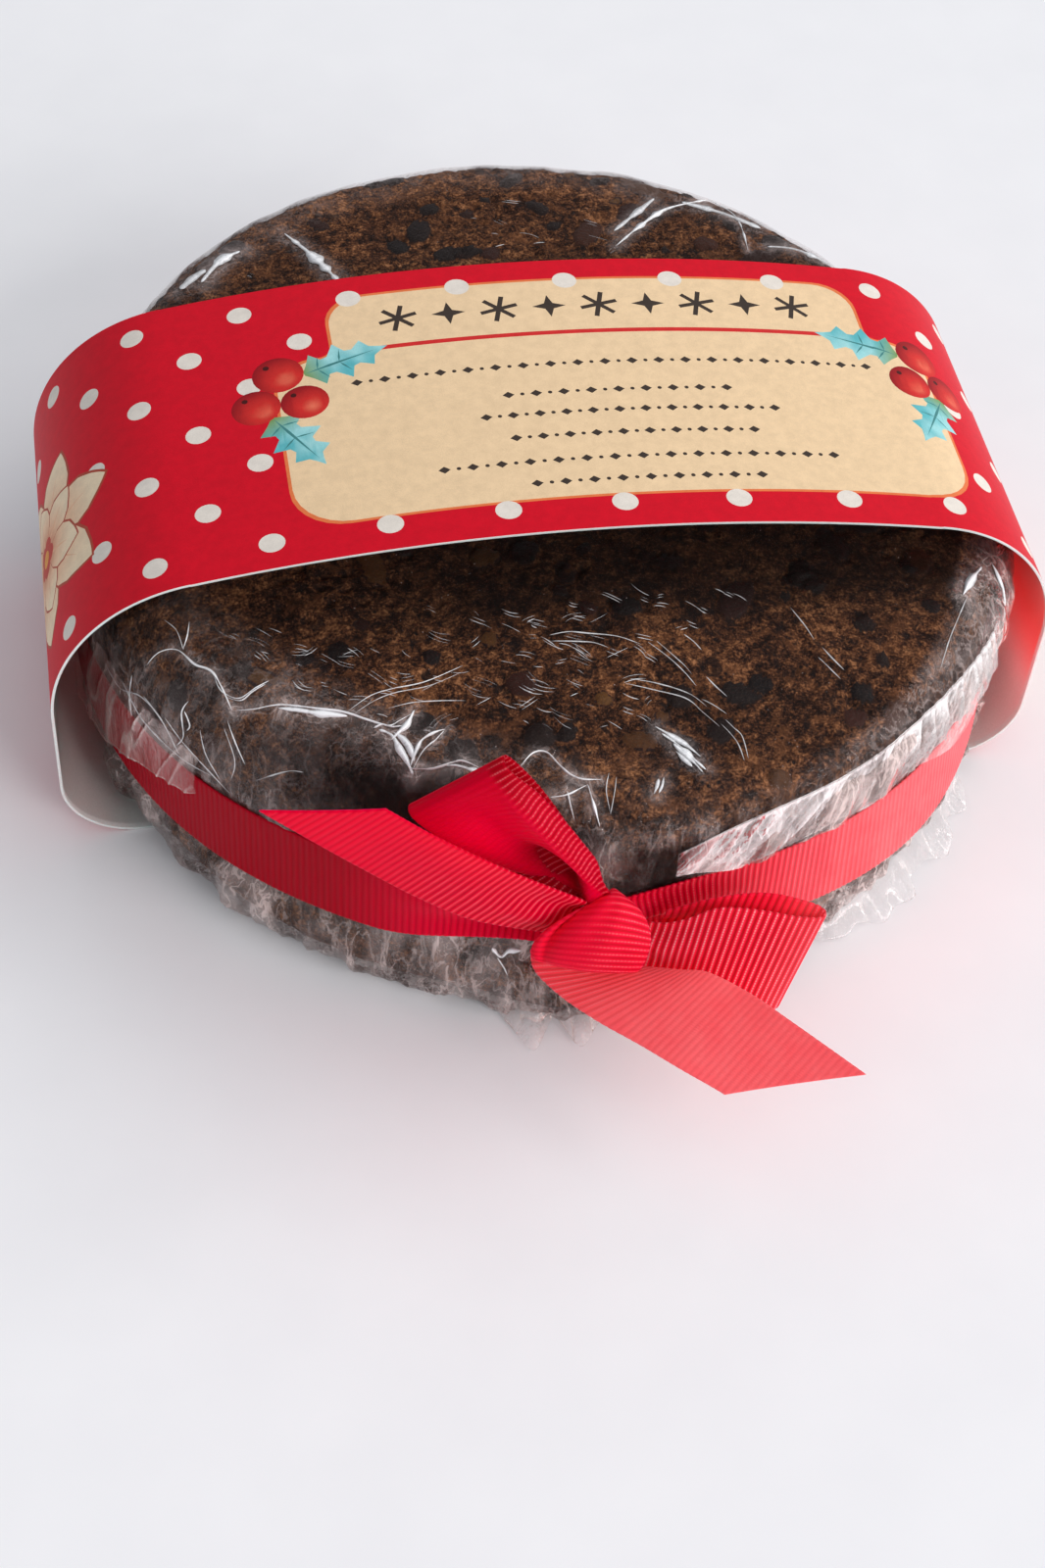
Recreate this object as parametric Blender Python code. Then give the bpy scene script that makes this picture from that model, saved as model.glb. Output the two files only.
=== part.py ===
"""A round fruit cake wrapped in clear film, with a paper sleeve round it and a ribbon tied in a bow.

Metres, +Z up. The origin is the centre of the base: the underside of the paper sleeve, on which
the whole stands, is at z = 0. The bow is at the front, towards -Y.
"""

import bpy
import bmesh
import math
from mathutils import Matrix, Vector

MM = 0.001

# Cake, mm
CAKE_R = 79.2                  # mean radius of the side wall
CAKE_BOTTOM = 0.7              # it lies on the paper, 0.3 mm above it
RIM_Z = 48.2                   # mean height of the rim
RIM_TILT = 1.9                 # the rim is this much higher at the back, and lower in front
CROWN_Z = 51.2                 # height of the top at the centre
RIM_ROUND = 4.5                # edge rounding where the film is pulled sharp
RIM_SIDE_ROUND = 7.5           # added at the sides, where the sleeve presses on the edge
RIM_CRUMBLED = 7.0             # added at the front left, where the edge has crumbled
SKIRT = 1.6                    # how far the bunched film stands out at the foot, front left
GATHER = 4.2                   # and where it is gathered, under the knot
FOOT_ROUND = (9.0, 4.0)        # rounding of the foot: inside the sleeve, in the open
WALL_TOP, WALL_FOOT = 29.0, 14.5  # the stretch of wall that the ribbon covers
FLARE = 1.3                    # how far the wall stands out above the ribbon, right front and back
FLARE_Z = 32.5                 # height at which half of that is gone
PLEAT = 0.22                   # depth of the small upright folds
CAKE_AROUND = 108

# Paper sleeve, mm
PAPER = 0.4
SLEEVE_HALF_W = 83.6
SLEEVE_CROWN = 63.2
SLEEVE_ARCH_R = 320.0          # the flat arch over the top
SLEEVE_ARCH_HALF = 60.0        # half width of that arch, before the shoulders
SLEEVE_SHOULDER_R = 28.5
SLEEVE_FOOT_R = 12.5
SLEEVE_X = -1.3                # the sleeve sits a little to the left of the cake's centre
SLEEVE_FRONT, SLEEVE_BACK = -35.5, 31.5

# Ribbon, mm
RIBBON_W = 16.2
RIBBON_T = 0.5
BAND_R = 80.0                  # inner radius of the band round the cake
BAND_Z = 21.6                  # height of its centre line
BAND_AROUND = 120
KNOT_Z = 25.5                  # the band rises to this height behind the knot
KNOT_ANGLE = math.radians(-94.0)
KNOT_PINCH = 8.6               # width of the band where the knot gathers it
BAND_STAND = 2.0               # how far its lower edge stands off, right of the knot

# Knot: centre, half axes and their directions (along the wrap, across it, outwards)
KNOT_C = Vector((-6.2, -86.9, 28.4))
KNOT_HALF = (8.8, 5.6, 4.9)
KNOT_ALONG = Vector((0.973, 0.037, 0.223))
KNOT_OUT = Vector((-0.149, -0.632, 0.760))

RED = (0.62, 0.006, 0.020, 1.0)


def clear_scene():
    for obj in list(bpy.data.objects):
        bpy.data.objects.remove(obj, do_unlink=True)


def material(name, colour, roughness, alpha=1.0):
    mat = bpy.data.materials.new(name)
    mat.use_nodes = True
    shader = mat.node_tree.nodes["Principled BSDF"]
    shader.inputs["Base Color"].default_value = colour
    shader.inputs["Roughness"].default_value = roughness
    shader.inputs["Metallic"].default_value = 0.0
    shader.inputs["Alpha"].default_value = alpha
    return mat


def smoothstep(low, high, value):
    t = min(max((value - low) / (high - low), 0.0), 1.0)
    return t * t * (3.0 - 2.0 * t)


def angle_between(a, b):
    """Signed difference of two angles, from -pi to pi."""
    return (a - b + math.pi) % (2.0 * math.pi) - math.pi


def lobe(theta, centre_deg, spread):
    """1 at the centre angle, falling off to 0 either side of it."""
    return math.exp(-(angle_between(theta, math.radians(centre_deg)) / spread) ** 2)


def add_object(name, bm, mat, sharp_deg=40.0):
    bmesh.ops.recalc_face_normals(bm, faces=bm.faces)
    mesh = bpy.data.meshes.new(name)
    bm.to_mesh(mesh)
    bm.free()
    mesh.materials.append(mat)
    mesh.shade_smooth()
    mesh.set_sharp_from_angle(angle=math.radians(sharp_deg))
    obj = bpy.data.objects.new(name, mesh)
    bpy.context.scene.collection.objects.link(obj)
    return obj


def grid(bm, rows, close_rows=False, close_cols=False):
    """Quads between rows of points, in millimetres."""
    verts = [[bm.verts.new(Vector(p) * MM) for p in row] for row in rows]
    count, width = len(verts), len(verts[0])
    for i in range(count if close_rows else count - 1):
        a, b = verts[i], verts[(i + 1) % count]
        for j in range(width if close_cols else width - 1):
            k = (j + 1) % width
            bm.faces.new((a[j], a[k], b[k], b[j]))
    return verts


# ---------------------------------------------------------------- cake in its film

def cake_profile(theta):
    """(radius, height) points down one side, from the top's centre to the foot's centre."""
    right_front = lobe(theta, -58.0, 0.42)
    left_front = lobe(theta, -118.0, 0.50)
    rim = RIM_ROUND + RIM_SIDE_ROUND * abs(math.cos(theta)) ** 3 + RIM_CRUMBLED * left_front
    foot = FOOT_ROUND[1] + (FOOT_ROUND[0] - FOOT_ROUND[1]) * math.cos(theta) ** 2
    wall = CAKE_R + 0.2 * math.sin(3.0 * theta + 0.6) + 0.15 * math.sin(5.0 * theta + 2.0)
    rim_z = RIM_Z + RIM_TILT * math.sin(theta) + 0.3 * math.sin(3.0 * theta)
    pleat = PLEAT * math.sin(18.0 * theta + 1.3 * math.sin(3.0 * theta))
    flare = FLARE * (right_front + lobe(theta, 90.0, 0.70))
    skirt = SKIRT * left_front + GATHER * lobe(theta, -95.0, 0.14) + pleat

    points = []
    for share in (0.25, 0.5, 0.72, 0.9):
        r = share * (wall - rim)
        bump = 0.35 * math.sin(0.09 * r * math.cos(theta) + 1.0) * math.sin(0.11 * r * math.sin(theta))
        points.append((r, CROWN_Z + (rim_z - CROWN_Z) * share ** 2 + bump))
    for step in range(6):
        turn = math.radians(90.0 * step / 5.0)
        points.append((wall + flare - rim + rim * math.sin(turn), rim_z - rim + rim * math.cos(turn)))
    points.append((wall + flare * 0.5, FLARE_Z))
    points.append((wall + 0.3 * pleat, WALL_TOP))
    points.append((wall + 0.3 * pleat, WALL_FOOT))
    for step in range(4):
        turn = math.radians(90.0 * step / 3.0)
        r = wall + skirt * (1.0 - step / 3.0) - foot + foot * math.cos(turn)
        points.append((r, CAKE_BOTTOM + foot - foot * math.sin(turn)))
    return points


def make_cake(mat):
    bm = bmesh.new()
    rows = []
    for i in range(CAKE_AROUND):
        theta = 2.0 * math.pi * i / CAKE_AROUND
        rows.append([(r * math.cos(theta), r * math.sin(theta), z) for r, z in cake_profile(theta)])
    verts = grid(bm, rows, close_rows=True)
    for column, height in ((0, CROWN_Z), (-1, CAKE_BOTTOM)):
        hub = bm.verts.new(Vector((0.0, 0.0, height)) * MM)
        for i in range(CAKE_AROUND):
            bm.faces.new((hub, verts[i][column], verts[(i + 1) % CAKE_AROUND][column]))
    return add_object("wrapped_cake", bm, mat)


# ---------------------------------------------------------------- paper sleeve

def arc(centre, radius, start, end, steps):
    """Points along an arc; angles in degrees, measured from +Z towards +X."""
    turns = [math.radians(start + (end - start) * i / steps) for i in range(steps + 1)]
    return [(centre[0] + radius * math.sin(t), centre[1] + radius * math.cos(t)) for t in turns]


def sleeve_section(inset):
    """Closed section of the sleeve, (x, z), moved inwards by inset."""
    lean = math.degrees(math.asin(SLEEVE_ARCH_HALF / SLEEVE_ARCH_R))
    crown = SLEEVE_CROWN - SLEEVE_ARCH_R
    shoulder_x = SLEEVE_HALF_W - SLEEVE_SHOULDER_R
    arch_end_z = crown + SLEEVE_ARCH_R * math.cos(math.radians(lean))
    shoulder_z = arch_end_z - SLEEVE_SHOULDER_R * math.cos(math.radians(lean))
    foot_x = SLEEVE_HALF_W - SLEEVE_FOOT_R

    half = arc((0.0, crown), SLEEVE_ARCH_R - inset, 0.0, lean, 8)
    half += arc((shoulder_x, shoulder_z), SLEEVE_SHOULDER_R - inset, lean + 8.0, 90.0, 8)
    half += arc((foot_x, SLEEVE_FOOT_R), SLEEVE_FOOT_R - inset, 90.0, 180.0, 6)
    left = [(-x, z) for x, z in reversed(half[1:])]
    return [(x + SLEEVE_X, z) for x, z in half + left]


def make_sleeve(mat):
    bm = bmesh.new()
    outer, inner = sleeve_section(0.0), sleeve_section(PAPER)
    rows = []
    for (xo, zo), (xi, zi) in zip(outer, inner):
        rows.append([(xo, SLEEVE_FRONT, zo), (xo, SLEEVE_BACK, zo), (xi, SLEEVE_BACK, zi), (xi, SLEEVE_FRONT, zi)])
    grid(bm, rows, close_rows=True, close_cols=True)
    return add_object("sleeve", bm, mat)


# ---------------------------------------------------------------- ribbon

def make_band(mat):
    """The ribbon round the cake: gathered behind the knot, its lower edge standing off on the right."""
    bm = bmesh.new()
    rows = []
    for i in range(BAND_AROUND):
        theta = 2.0 * math.pi * i / BAND_AROUND
        away = abs(angle_between(theta, KNOT_ANGLE))
        free = smoothstep(0.05, 0.42, away)
        half = 0.5 * (KNOT_PINCH + (RIBBON_W - KNOT_PINCH) * free)
        mid = KNOT_Z + (BAND_Z - KNOT_Z) * free
        stand = BAND_STAND * lobe(theta, -48.0, 0.36)
        ring = []
        for level, radius in ((-half, BAND_R + stand), (half, BAND_R)):
            ring.append((radius * math.cos(theta), radius * math.sin(theta), mid + level))
        for level, radius in ((half, BAND_R + RIBBON_T), (-half, BAND_R + stand + RIBBON_T)):
            ring.append((radius * math.cos(theta), radius * math.sin(theta), mid + level))
        rows.append(ring)
    grid(bm, rows, close_rows=True, close_cols=True)
    return add_object("ribbon_band", bm, mat)


def spline(points, t):
    """Catmull-Rom curve through the points; t runs from 0 to len(points) - 1."""
    last = len(points) - 1
    i = min(int(t), last - 1)
    u = t - i
    a, b, c, d = (points[min(max(i + k, 0), last)] for k in (-1, 0, 1, 2))
    return 0.5 * ((2.0 * b) + (c - a) * u + (2.0 * a - 5.0 * b + 4.0 * c - d) * u ** 2
                  + (3.0 * b - a - 3.0 * c + d) * u ** 3)


def ribbon_piece(name, guide, mat, steps, cut=0.0, across=4):
    """A strip of ribbon along its guide. cut slants its free end: how many guide steps shorter its
    upper selvedge is than the lower one, or the lower than the upper if cut is negative."""
    centres = [Vector(c) for c, w, size in guide]
    ways = [Vector(w).normalized() for c, w, size in guide]
    sizes = [size for c, w, size in guide]
    last = len(guide) - 1
    bm = bmesh.new()
    rows = []
    for i in range(steps + 1):
        row = []
        for j in range(across + 1):
            v = 2.0 * j / across - 1.0
            end = last - abs(cut) * (0.5 + 0.5 * v * math.copysign(1.0, cut))
            t = end * i / steps
            centre, way, size = spline(centres, t), spline(ways, t), spline(sizes, t)
            row.append(centre + way.normalized() * (0.5 * size * v))
        rows.append(row)
    grid(bm, rows)
    obj = add_object(name, bm, mat)
    skin = obj.modifiers.new("thickness", "SOLIDIFY")
    skin.thickness = RIBBON_T * MM
    skin.offset = 0.0
    skin.use_even_offset = True
    return obj


def make_knot(mat):
    """The gathered wrap of the knot: a pillow with folds running along the wrap."""
    along = KNOT_ALONG.normalized()
    across = along.cross(KNOT_OUT).normalized()
    out = across.cross(along).normalized()
    frame = Matrix((along, across, out)).transposed()
    around, rings = 24, 11
    bm = bmesh.new()
    rows = []
    for i in range(around):
        turn = 2.0 * math.pi * i / around
        fold = 1.0 + 0.05 * math.sin(6.0 * turn)
        row = []
        for j in range(1, rings):
            tilt = math.pi * j / rings
            flat = math.sin(tilt) ** 0.7
            local = Vector((KNOT_HALF[0] * math.copysign(abs(math.cos(tilt)) ** 0.8, math.cos(tilt)),
                            KNOT_HALF[1] * flat * math.cos(turn) * fold,
                            KNOT_HALF[2] * flat * math.sin(turn) * fold))
            row.append(KNOT_C + frame @ local)
        rows.append(row)
    verts = grid(bm, rows, close_rows=True)
    for column, side in ((0, 1.0), (-1, -1.0)):
        hub = bm.verts.new((KNOT_C + frame @ Vector((side * KNOT_HALF[0], 0.0, 0.0))) * MM)
        for i in range(around):
            bm.faces.new((hub, verts[i][column], verts[(i + 1) % around][column]))
    return add_object("bow_knot", bm, mat)


# Guides of the free ribbon pieces: (centre, direction of the width, width), from the knot outwards.
LEFT_TAIL = [
    ((-12.6, -84.6, 32.0), (0.48, -0.10, 0.86), 10.0),
    ((-21.0, -83.7, 36.0), (0.50, -0.18, 0.84), 14.6),
    ((-28.3, -82.6, 40.6), (0.50, -0.25, 0.83), RIBBON_W),
    ((-35.0, -81.5, 45.6), (0.50, -0.27, 0.82), RIBBON_W),
    ((-41.8, -80.2, 51.0), (0.53, -0.28, 0.80), RIBBON_W),
    ((-50.5, -78.4, 58.0), (0.58, -0.30, 0.75), RIBBON_W),
]
RIGHT_TAIL = [
    ((-7.3, -88.6, 20.3), (0.88, 0.04, 0.44), 9.5),
    ((-4.0, -91.0, 20.9), (0.82, 0.08, 0.56), 12.5),
    ((0.2, -94.2, 22.0), (0.76, 0.14, 0.64), 15.2),
    ((4.6, -98.2, 23.2), (0.71, 0.22, 0.67), RIBBON_W),
    ((9.6, -103.5, 24.0), (0.67, 0.27, 0.69), RIBBON_W),
    ((15.3, -109.8, 24.4), (0.57, 0.20, 0.80), RIBBON_W),
    ((24.4, -120.2, 24.6), (0.50, 0.12, 0.86), RIBBON_W),
]
LEFT_LOOP = [
    ((-7.3, -83.8, 35.4), (0.61, -0.45, 0.62), 7.0),
    ((-10.5, -83.2, 39.0), (0.62, -0.42, 0.65), 11.0),
    ((-15.4, -82.4, 43.8), (0.67, -0.30, 0.67), 15.0),
    ((-21.3, -81.0, 50.0), (0.77, -0.12, 0.62), RIBBON_W),
    ((-25.6, -79.4, 54.6), (0.84, 0.02, 0.54), RIBBON_W),
    ((-26.6, -77.6, 55.4), (0.85, 0.04, 0.52), RIBBON_W),
    ((-25.4, -76.0, 54.2), (0.84, 0.02, 0.54), RIBBON_W),
    ((-20.4, -76.6, 48.0), (0.76, -0.06, 0.64), RIBBON_W),
    ((-14.8, -79.3, 42.4), (0.70, -0.14, 0.68), 14.0),
    ((-9.3, -81.6, 37.0), (0.64, -0.20, 0.70), 10.0),
    ((-6.9, -82.0, 35.2), (0.62, -0.20, 0.70), 6.0),
]
RIGHT_LOOP = [
    ((3.9, -88.4, 26.4), (0.26, 0.30, 0.92), 7.0),
    ((6.4, -90.2, 26.8), (0.26, 0.36, 0.90), 11.0),
    ((10.4, -91.6, 27.2), (0.30, 0.44, 0.85), 15.4),
    ((15.8, -92.8, 26.6), (0.38, 0.50, 0.78), RIBBON_W),
    ((21.2, -93.6, 25.4), (0.44, 0.50, 0.74), RIBBON_W),
    ((25.2, -93.4, 24.4), (0.47, 0.48, 0.74), RIBBON_W),
    ((26.2, -91.8, 24.2), (0.48, 0.46, 0.75), RIBBON_W),
    ((24.0, -90.2, 24.6), (0.46, 0.44, 0.77), RIBBON_W),
    ((18.0, -88.6, 25.8), (0.38, 0.38, 0.84), RIBBON_W),
    ((11.4, -86.8, 26.6), (0.30, 0.26, 0.92), 12.6),
    ((5.2, -85.0, 26.2), (0.24, 0.20, 0.95), 7.0),
]


def build():
    clear_scene()
    film = material("film_and_cake", (0.075, 0.040, 0.022, 1.0), 0.30)
    paper = material("printed_paper", (0.60, 0.020, 0.030, 1.0), 0.55)
    ribbon = material("grosgrain", RED, 0.60)

    make_cake(film)
    make_sleeve(paper)
    make_band(ribbon)
    make_knot(ribbon)
    ribbon_piece("bow_loop_left", LEFT_LOOP, ribbon, steps=30)
    ribbon_piece("bow_loop_right", RIGHT_LOOP, ribbon, steps=30)
    ribbon_piece("ribbon_tail_left", LEFT_TAIL, ribbon, steps=14, cut=1.0)
    ribbon_piece("ribbon_tail_right", RIGHT_TAIL, ribbon, steps=14, cut=-1.0)


build()
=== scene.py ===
"""Looks of the wrapped fruit cake: crumb and fruit under clear film, printed paper sleeve, grosgrain bow.

Lengths here are millimetres until a mesh is made. The origin is the centre of the base, +Z is up and
the bow is at the front, towards -Y.
"""

import bpy
import math
import numpy as np
from mathutils import Matrix, Vector
from mathutils.geometry import delaunay_2d_cdt


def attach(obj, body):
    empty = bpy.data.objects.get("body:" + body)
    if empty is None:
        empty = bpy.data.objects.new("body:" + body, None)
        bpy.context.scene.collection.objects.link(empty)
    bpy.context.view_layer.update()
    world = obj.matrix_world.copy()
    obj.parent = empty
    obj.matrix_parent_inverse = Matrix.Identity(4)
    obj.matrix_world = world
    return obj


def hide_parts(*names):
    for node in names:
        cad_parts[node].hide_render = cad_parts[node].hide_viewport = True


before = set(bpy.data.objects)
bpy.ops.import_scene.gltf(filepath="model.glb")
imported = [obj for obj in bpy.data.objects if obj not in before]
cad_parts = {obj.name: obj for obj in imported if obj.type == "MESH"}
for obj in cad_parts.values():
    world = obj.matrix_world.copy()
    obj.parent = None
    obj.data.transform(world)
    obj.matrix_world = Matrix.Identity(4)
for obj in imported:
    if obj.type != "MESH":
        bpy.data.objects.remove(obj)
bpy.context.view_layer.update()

MM = 0.001

# Cake and film, as in the solids
CAKE_R, CAKE_BOTTOM = 79.2, 0.7
RIM_Z, RIM_TILT, CROWN_Z = 48.2, 1.9, 51.2
RIM_ROUND, RIM_SIDE_ROUND, RIM_CRUMBLED = 4.5, 7.5, 7.0
SKIRT, GATHER = 1.6, 4.2
FOOT_ROUND = (9.0, 4.0)
FLARE = 1.3

# Paper sleeve
PAPER = 0.45
SLEEVE_HALF_W, SLEEVE_CROWN = 83.6, 63.2
SLEEVE_ARCH_R, SLEEVE_ARCH_HALF = 320.0, 60.0
SLEEVE_SHOULDER_R, SLEEVE_FOOT_R = 28.5, 12.5
SLEEVE_X, SLEEVE_FRONT, SLEEVE_BACK = -1.3, -35.5, 31.5

# Ribbon
RIBBON_W = 16.2
RIB_PITCH = 1.106
RIB_STEPS = 6                  # rows of points to a rib
BAND_R, BAND_Z = 80.1, 21.6
KNOT_R, KNOT_Z = 84.0, 25.5    # the band is pulled out to here at the knot
KNOT_ANGLE = math.radians(-94.0)
KNOT_C = np.array((-6.2, -86.9, 28.4))

# Camera: place, and its right, up and forward directions
CAM_AT = np.array((-71.35, -309.09, 332.89))
CAM_RIGHT = np.array((0.98478, -0.16433, 0.05660))
CAM_UP = np.array((0.08918, 0.75728, 0.64698))
CAM_FORWARD = np.array((0.14918, 0.63208, -0.76041))
CAM_LENS, CAM_SENSOR = 57.51, 36.0


# ---------------------------------------------------------------- helpers

def srgb(r, g, b):
    """Linear colour of an 8-bit sRGB one."""
    return tuple(((c / 255.0) / 12.92 if c <= 10 else ((c / 255.0 + 0.055) / 1.055) ** 2.4) for c in (r, g, b)) + (1.0,)


def smooth(low, high, x):
    t = np.clip((np.asarray(x, float) - low) / (high - low), 0.0, 1.0)
    return t * t * (3.0 - 2.0 * t)


def turn_from(theta, centre):
    return (theta - centre + np.pi) % (2.0 * np.pi) - np.pi


def lobe(theta, centre_deg, spread):
    return np.exp(-(turn_from(theta, math.radians(centre_deg)) / spread) ** 2)


def lattice_value(ix, iy, iz, seed):
    """Repeatable value from 0 to 1 for each whole-number cell."""
    mask = 0xFFFFFFFF
    h = (ix * 73856093 ^ iy * 19349663 ^ iz * 83492791 ^ (seed * 40503 + 977)) & mask
    h = ((h ^ (h >> 15)) * 2246822519) & mask
    h = ((h ^ (h >> 13)) * 3266489917) & mask
    return ((h ^ (h >> 16)) & 0xFFFFFF) / float(0xFFFFFF)


def noise(p, seed=0):
    """Smooth noise from -1 to 1 at the points p, one lattice step to a unit."""
    cell = np.floor(p).astype(np.int64)
    f = p - cell
    f = f * f * (3.0 - 2.0 * f)
    total = np.zeros(p.shape[:-1])
    for dx in (0, 1):
        for dy in (0, 1):
            for dz in (0, 1):
                w = (f[..., 0] if dx else 1 - f[..., 0]) * (f[..., 1] if dy else 1 - f[..., 1])
                w = w * (f[..., 2] if dz else 1 - f[..., 2])
                total += w * lattice_value(cell[..., 0] + dx, cell[..., 1] + dy, cell[..., 2] + dz, seed)
    return 2.0 * total - 1.0


def fractal(p, octaves, seed=0, gain=0.5):
    total, weight, size = np.zeros(p.shape[:-1]), 1.0, 0.0
    for k in range(octaves):
        total += weight * noise(p * 2.0 ** k + 17.3 * k, seed + k)
        size += weight
        weight *= gain
    return total / size


def cells(p, seed=0):
    """Distance to the nearest of one random point a cell."""
    cell = np.floor(p).astype(np.int64)
    best = np.full(len(p), 9.0)
    for dx in (-1, 0, 1):
        for dy in (-1, 0, 1):
            for dz in (-1, 0, 1):
                c = cell + (dx, dy, dz)
                q = np.stack([lattice_value(c[:, 0], c[:, 1], c[:, 2], seed + k) for k in range(3)], axis=1) + c
                best = np.minimum(best, np.linalg.norm(p - q, axis=1))
    return best


def quads(rows, cols, wrap_rows=False, wrap_cols=False):
    i, j = np.meshgrid(np.arange(rows if wrap_rows else rows - 1), np.arange(cols if wrap_cols else cols - 1), indexing="ij")
    i2, j2 = (i + 1) % rows, (j + 1) % cols
    return np.stack([i * cols + j, i * cols + j2, i2 * cols + j2, i2 * cols + j], axis=-1).reshape(-1, 4)


def make_object(name, points, faces, mats, node=None, values=None, uv=None, face_mats=None, weld=False):
    """Object of a mesh, smooth-shaded. faces is one index array or several; values are point values by name; uv is
    one (u, v) for each point."""
    lists = [faces] if isinstance(faces, np.ndarray) else [f for f in faces if len(f)]
    mesh = bpy.data.meshes.new(name)
    mesh.vertices.add(len(points))
    mesh.vertices.foreach_set("co", (np.asarray(points) * MM).astype(np.float32).ravel())
    loops = np.concatenate([f.ravel() for f in lists]).astype(np.int32)
    sizes = np.concatenate([np.full(len(f), f.shape[1]) for f in lists]).astype(np.int32)
    mesh.loops.add(len(loops))
    mesh.loops.foreach_set("vertex_index", loops)
    mesh.polygons.add(len(sizes))
    mesh.polygons.foreach_set("loop_start", np.r_[0, np.cumsum(sizes)[:-1]].astype(np.int32))
    mesh.polygons.foreach_set("loop_total", sizes)
    if face_mats is not None:
        mesh.polygons.foreach_set("material_index", np.asarray(face_mats, np.int32))
    mesh.update(calc_edges=True)
    for key, value in (values or {}).items():
        mesh.attributes.new(key, "FLOAT", "POINT").data.foreach_set("value", np.asarray(value, np.float32))
    if uv is not None:
        layer = mesh.uv_layers.new(name="UVMap")
        layer.data.foreach_set("uv", np.asarray(uv, np.float32)[loops].ravel())
    for mat in mats:
        mesh.materials.append(mat)
    mesh.shade_smooth()
    mesh.validate()
    obj = bpy.data.objects.new(name, mesh)
    bpy.context.scene.collection.objects.link(obj)
    if weld:
        import bmesh
        bm = bmesh.new()
        bm.from_mesh(mesh)
        bmesh.ops.remove_doubles(bm, verts=bm.verts, dist=weld * MM)
        bmesh.ops.dissolve_degenerate(bm, dist=weld * MM, edges=bm.edges)
        bm.to_mesh(mesh)
        bm.free()
    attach(obj, "root")
    if node:
        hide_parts(node)
    return obj


class Shader:
    """Small helper to build a node material."""

    def __init__(self, name):
        self.mat = bpy.data.materials.new(name)
        self.mat.use_nodes = True
        self.tree = self.mat.node_tree
        self.bsdf = self.tree.nodes["Principled BSDF"]

    def link(self, value, socket):
        if isinstance(value, bpy.types.NodeSocket):
            self.tree.links.new(value, socket)
        else:
            socket.default_value = value

    def node(self, kind, out=0, **inputs):
        made = self.tree.nodes.new(kind)
        for key, value in inputs.items():
            if key.startswith("set_"):
                setattr(made, key[4:], value)
            else:
                name = key.replace("_", " ")
                socket = made.inputs[int(key[1:])] if key[0] == "i" and key[1:].isdigit() else made.inputs[name]
                self.link(value, socket)
        return made.outputs[out]

    def math(self, operation, a, b=0.0, c=0.0, clamp=False):
        return self.node("ShaderNodeMath", set_operation=operation, set_use_clamp=clamp, i0=a, i1=b, i2=c)

    def value(self, name):
        return self.node("ShaderNodeAttribute", out=2, set_attribute_name=name)

    def place(self, scale=(1.0, 1.0, 1.0), rotation=(0.0, 0.0, 0.0)):
        """Object coordinates in millimetres, scaled."""
        base = self.node("ShaderNodeTexCoord", out=3)
        return self.node("ShaderNodeMapping", Vector=base, Scale=tuple(1000.0 * s for s in scale), Rotation=rotation)

    def noise(self, vector, scale, detail=3.0, roughness=0.5, distortion=0.0):
        return self.node("ShaderNodeTexNoise", Vector=vector, Scale=scale, Detail=detail, Roughness=roughness,
                         Distortion=distortion)

    def ramp(self, fac, stops):
        made = self.tree.nodes.new("ShaderNodeValToRGB")
        self.link(fac, made.inputs[0])
        line = made.color_ramp
        while len(line.elements) < len(stops):
            line.elements.new(0.5)
        for element, (at, colour) in zip(line.elements, stops):
            element.position = at
            element.color = colour if len(colour) == 4 else tuple(colour) + (1.0,)
        return made.outputs[0]

    def mix(self, fac, a, b, blend="MIX"):
        made = self.tree.nodes.new("ShaderNodeMix")
        made.data_type = "RGBA"
        made.blend_type = blend
        self.link(fac, made.inputs[0])
        self.link(a, made.inputs[6])
        self.link(b, made.inputs[7])
        return made.outputs[2]

    def spread(self, fac, low, high, to_low=0.0, to_high=1.0):
        return self.node("ShaderNodeMapRange", set_interpolation_type="SMOOTHSTEP", i0=fac, i1=low, i2=high, i3=to_low,
                         i4=to_high)

    def bump(self, height, distance, strength=1.0, normal=None):
        made = self.tree.nodes.new("ShaderNodeBump")
        made.inputs["Strength"].default_value = strength
        made.inputs["Distance"].default_value = distance * MM
        self.link(height, made.inputs["Height"])
        if normal is not None:
            self.link(normal, made.inputs["Normal"])
        return made.outputs[0]

    def set(self, **inputs):
        for key, value in inputs.items():
            self.link(value, self.bsdf.inputs[key.replace("_", " ")])
        return self.mat


# ---------------------------------------------------------------- materials

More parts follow.
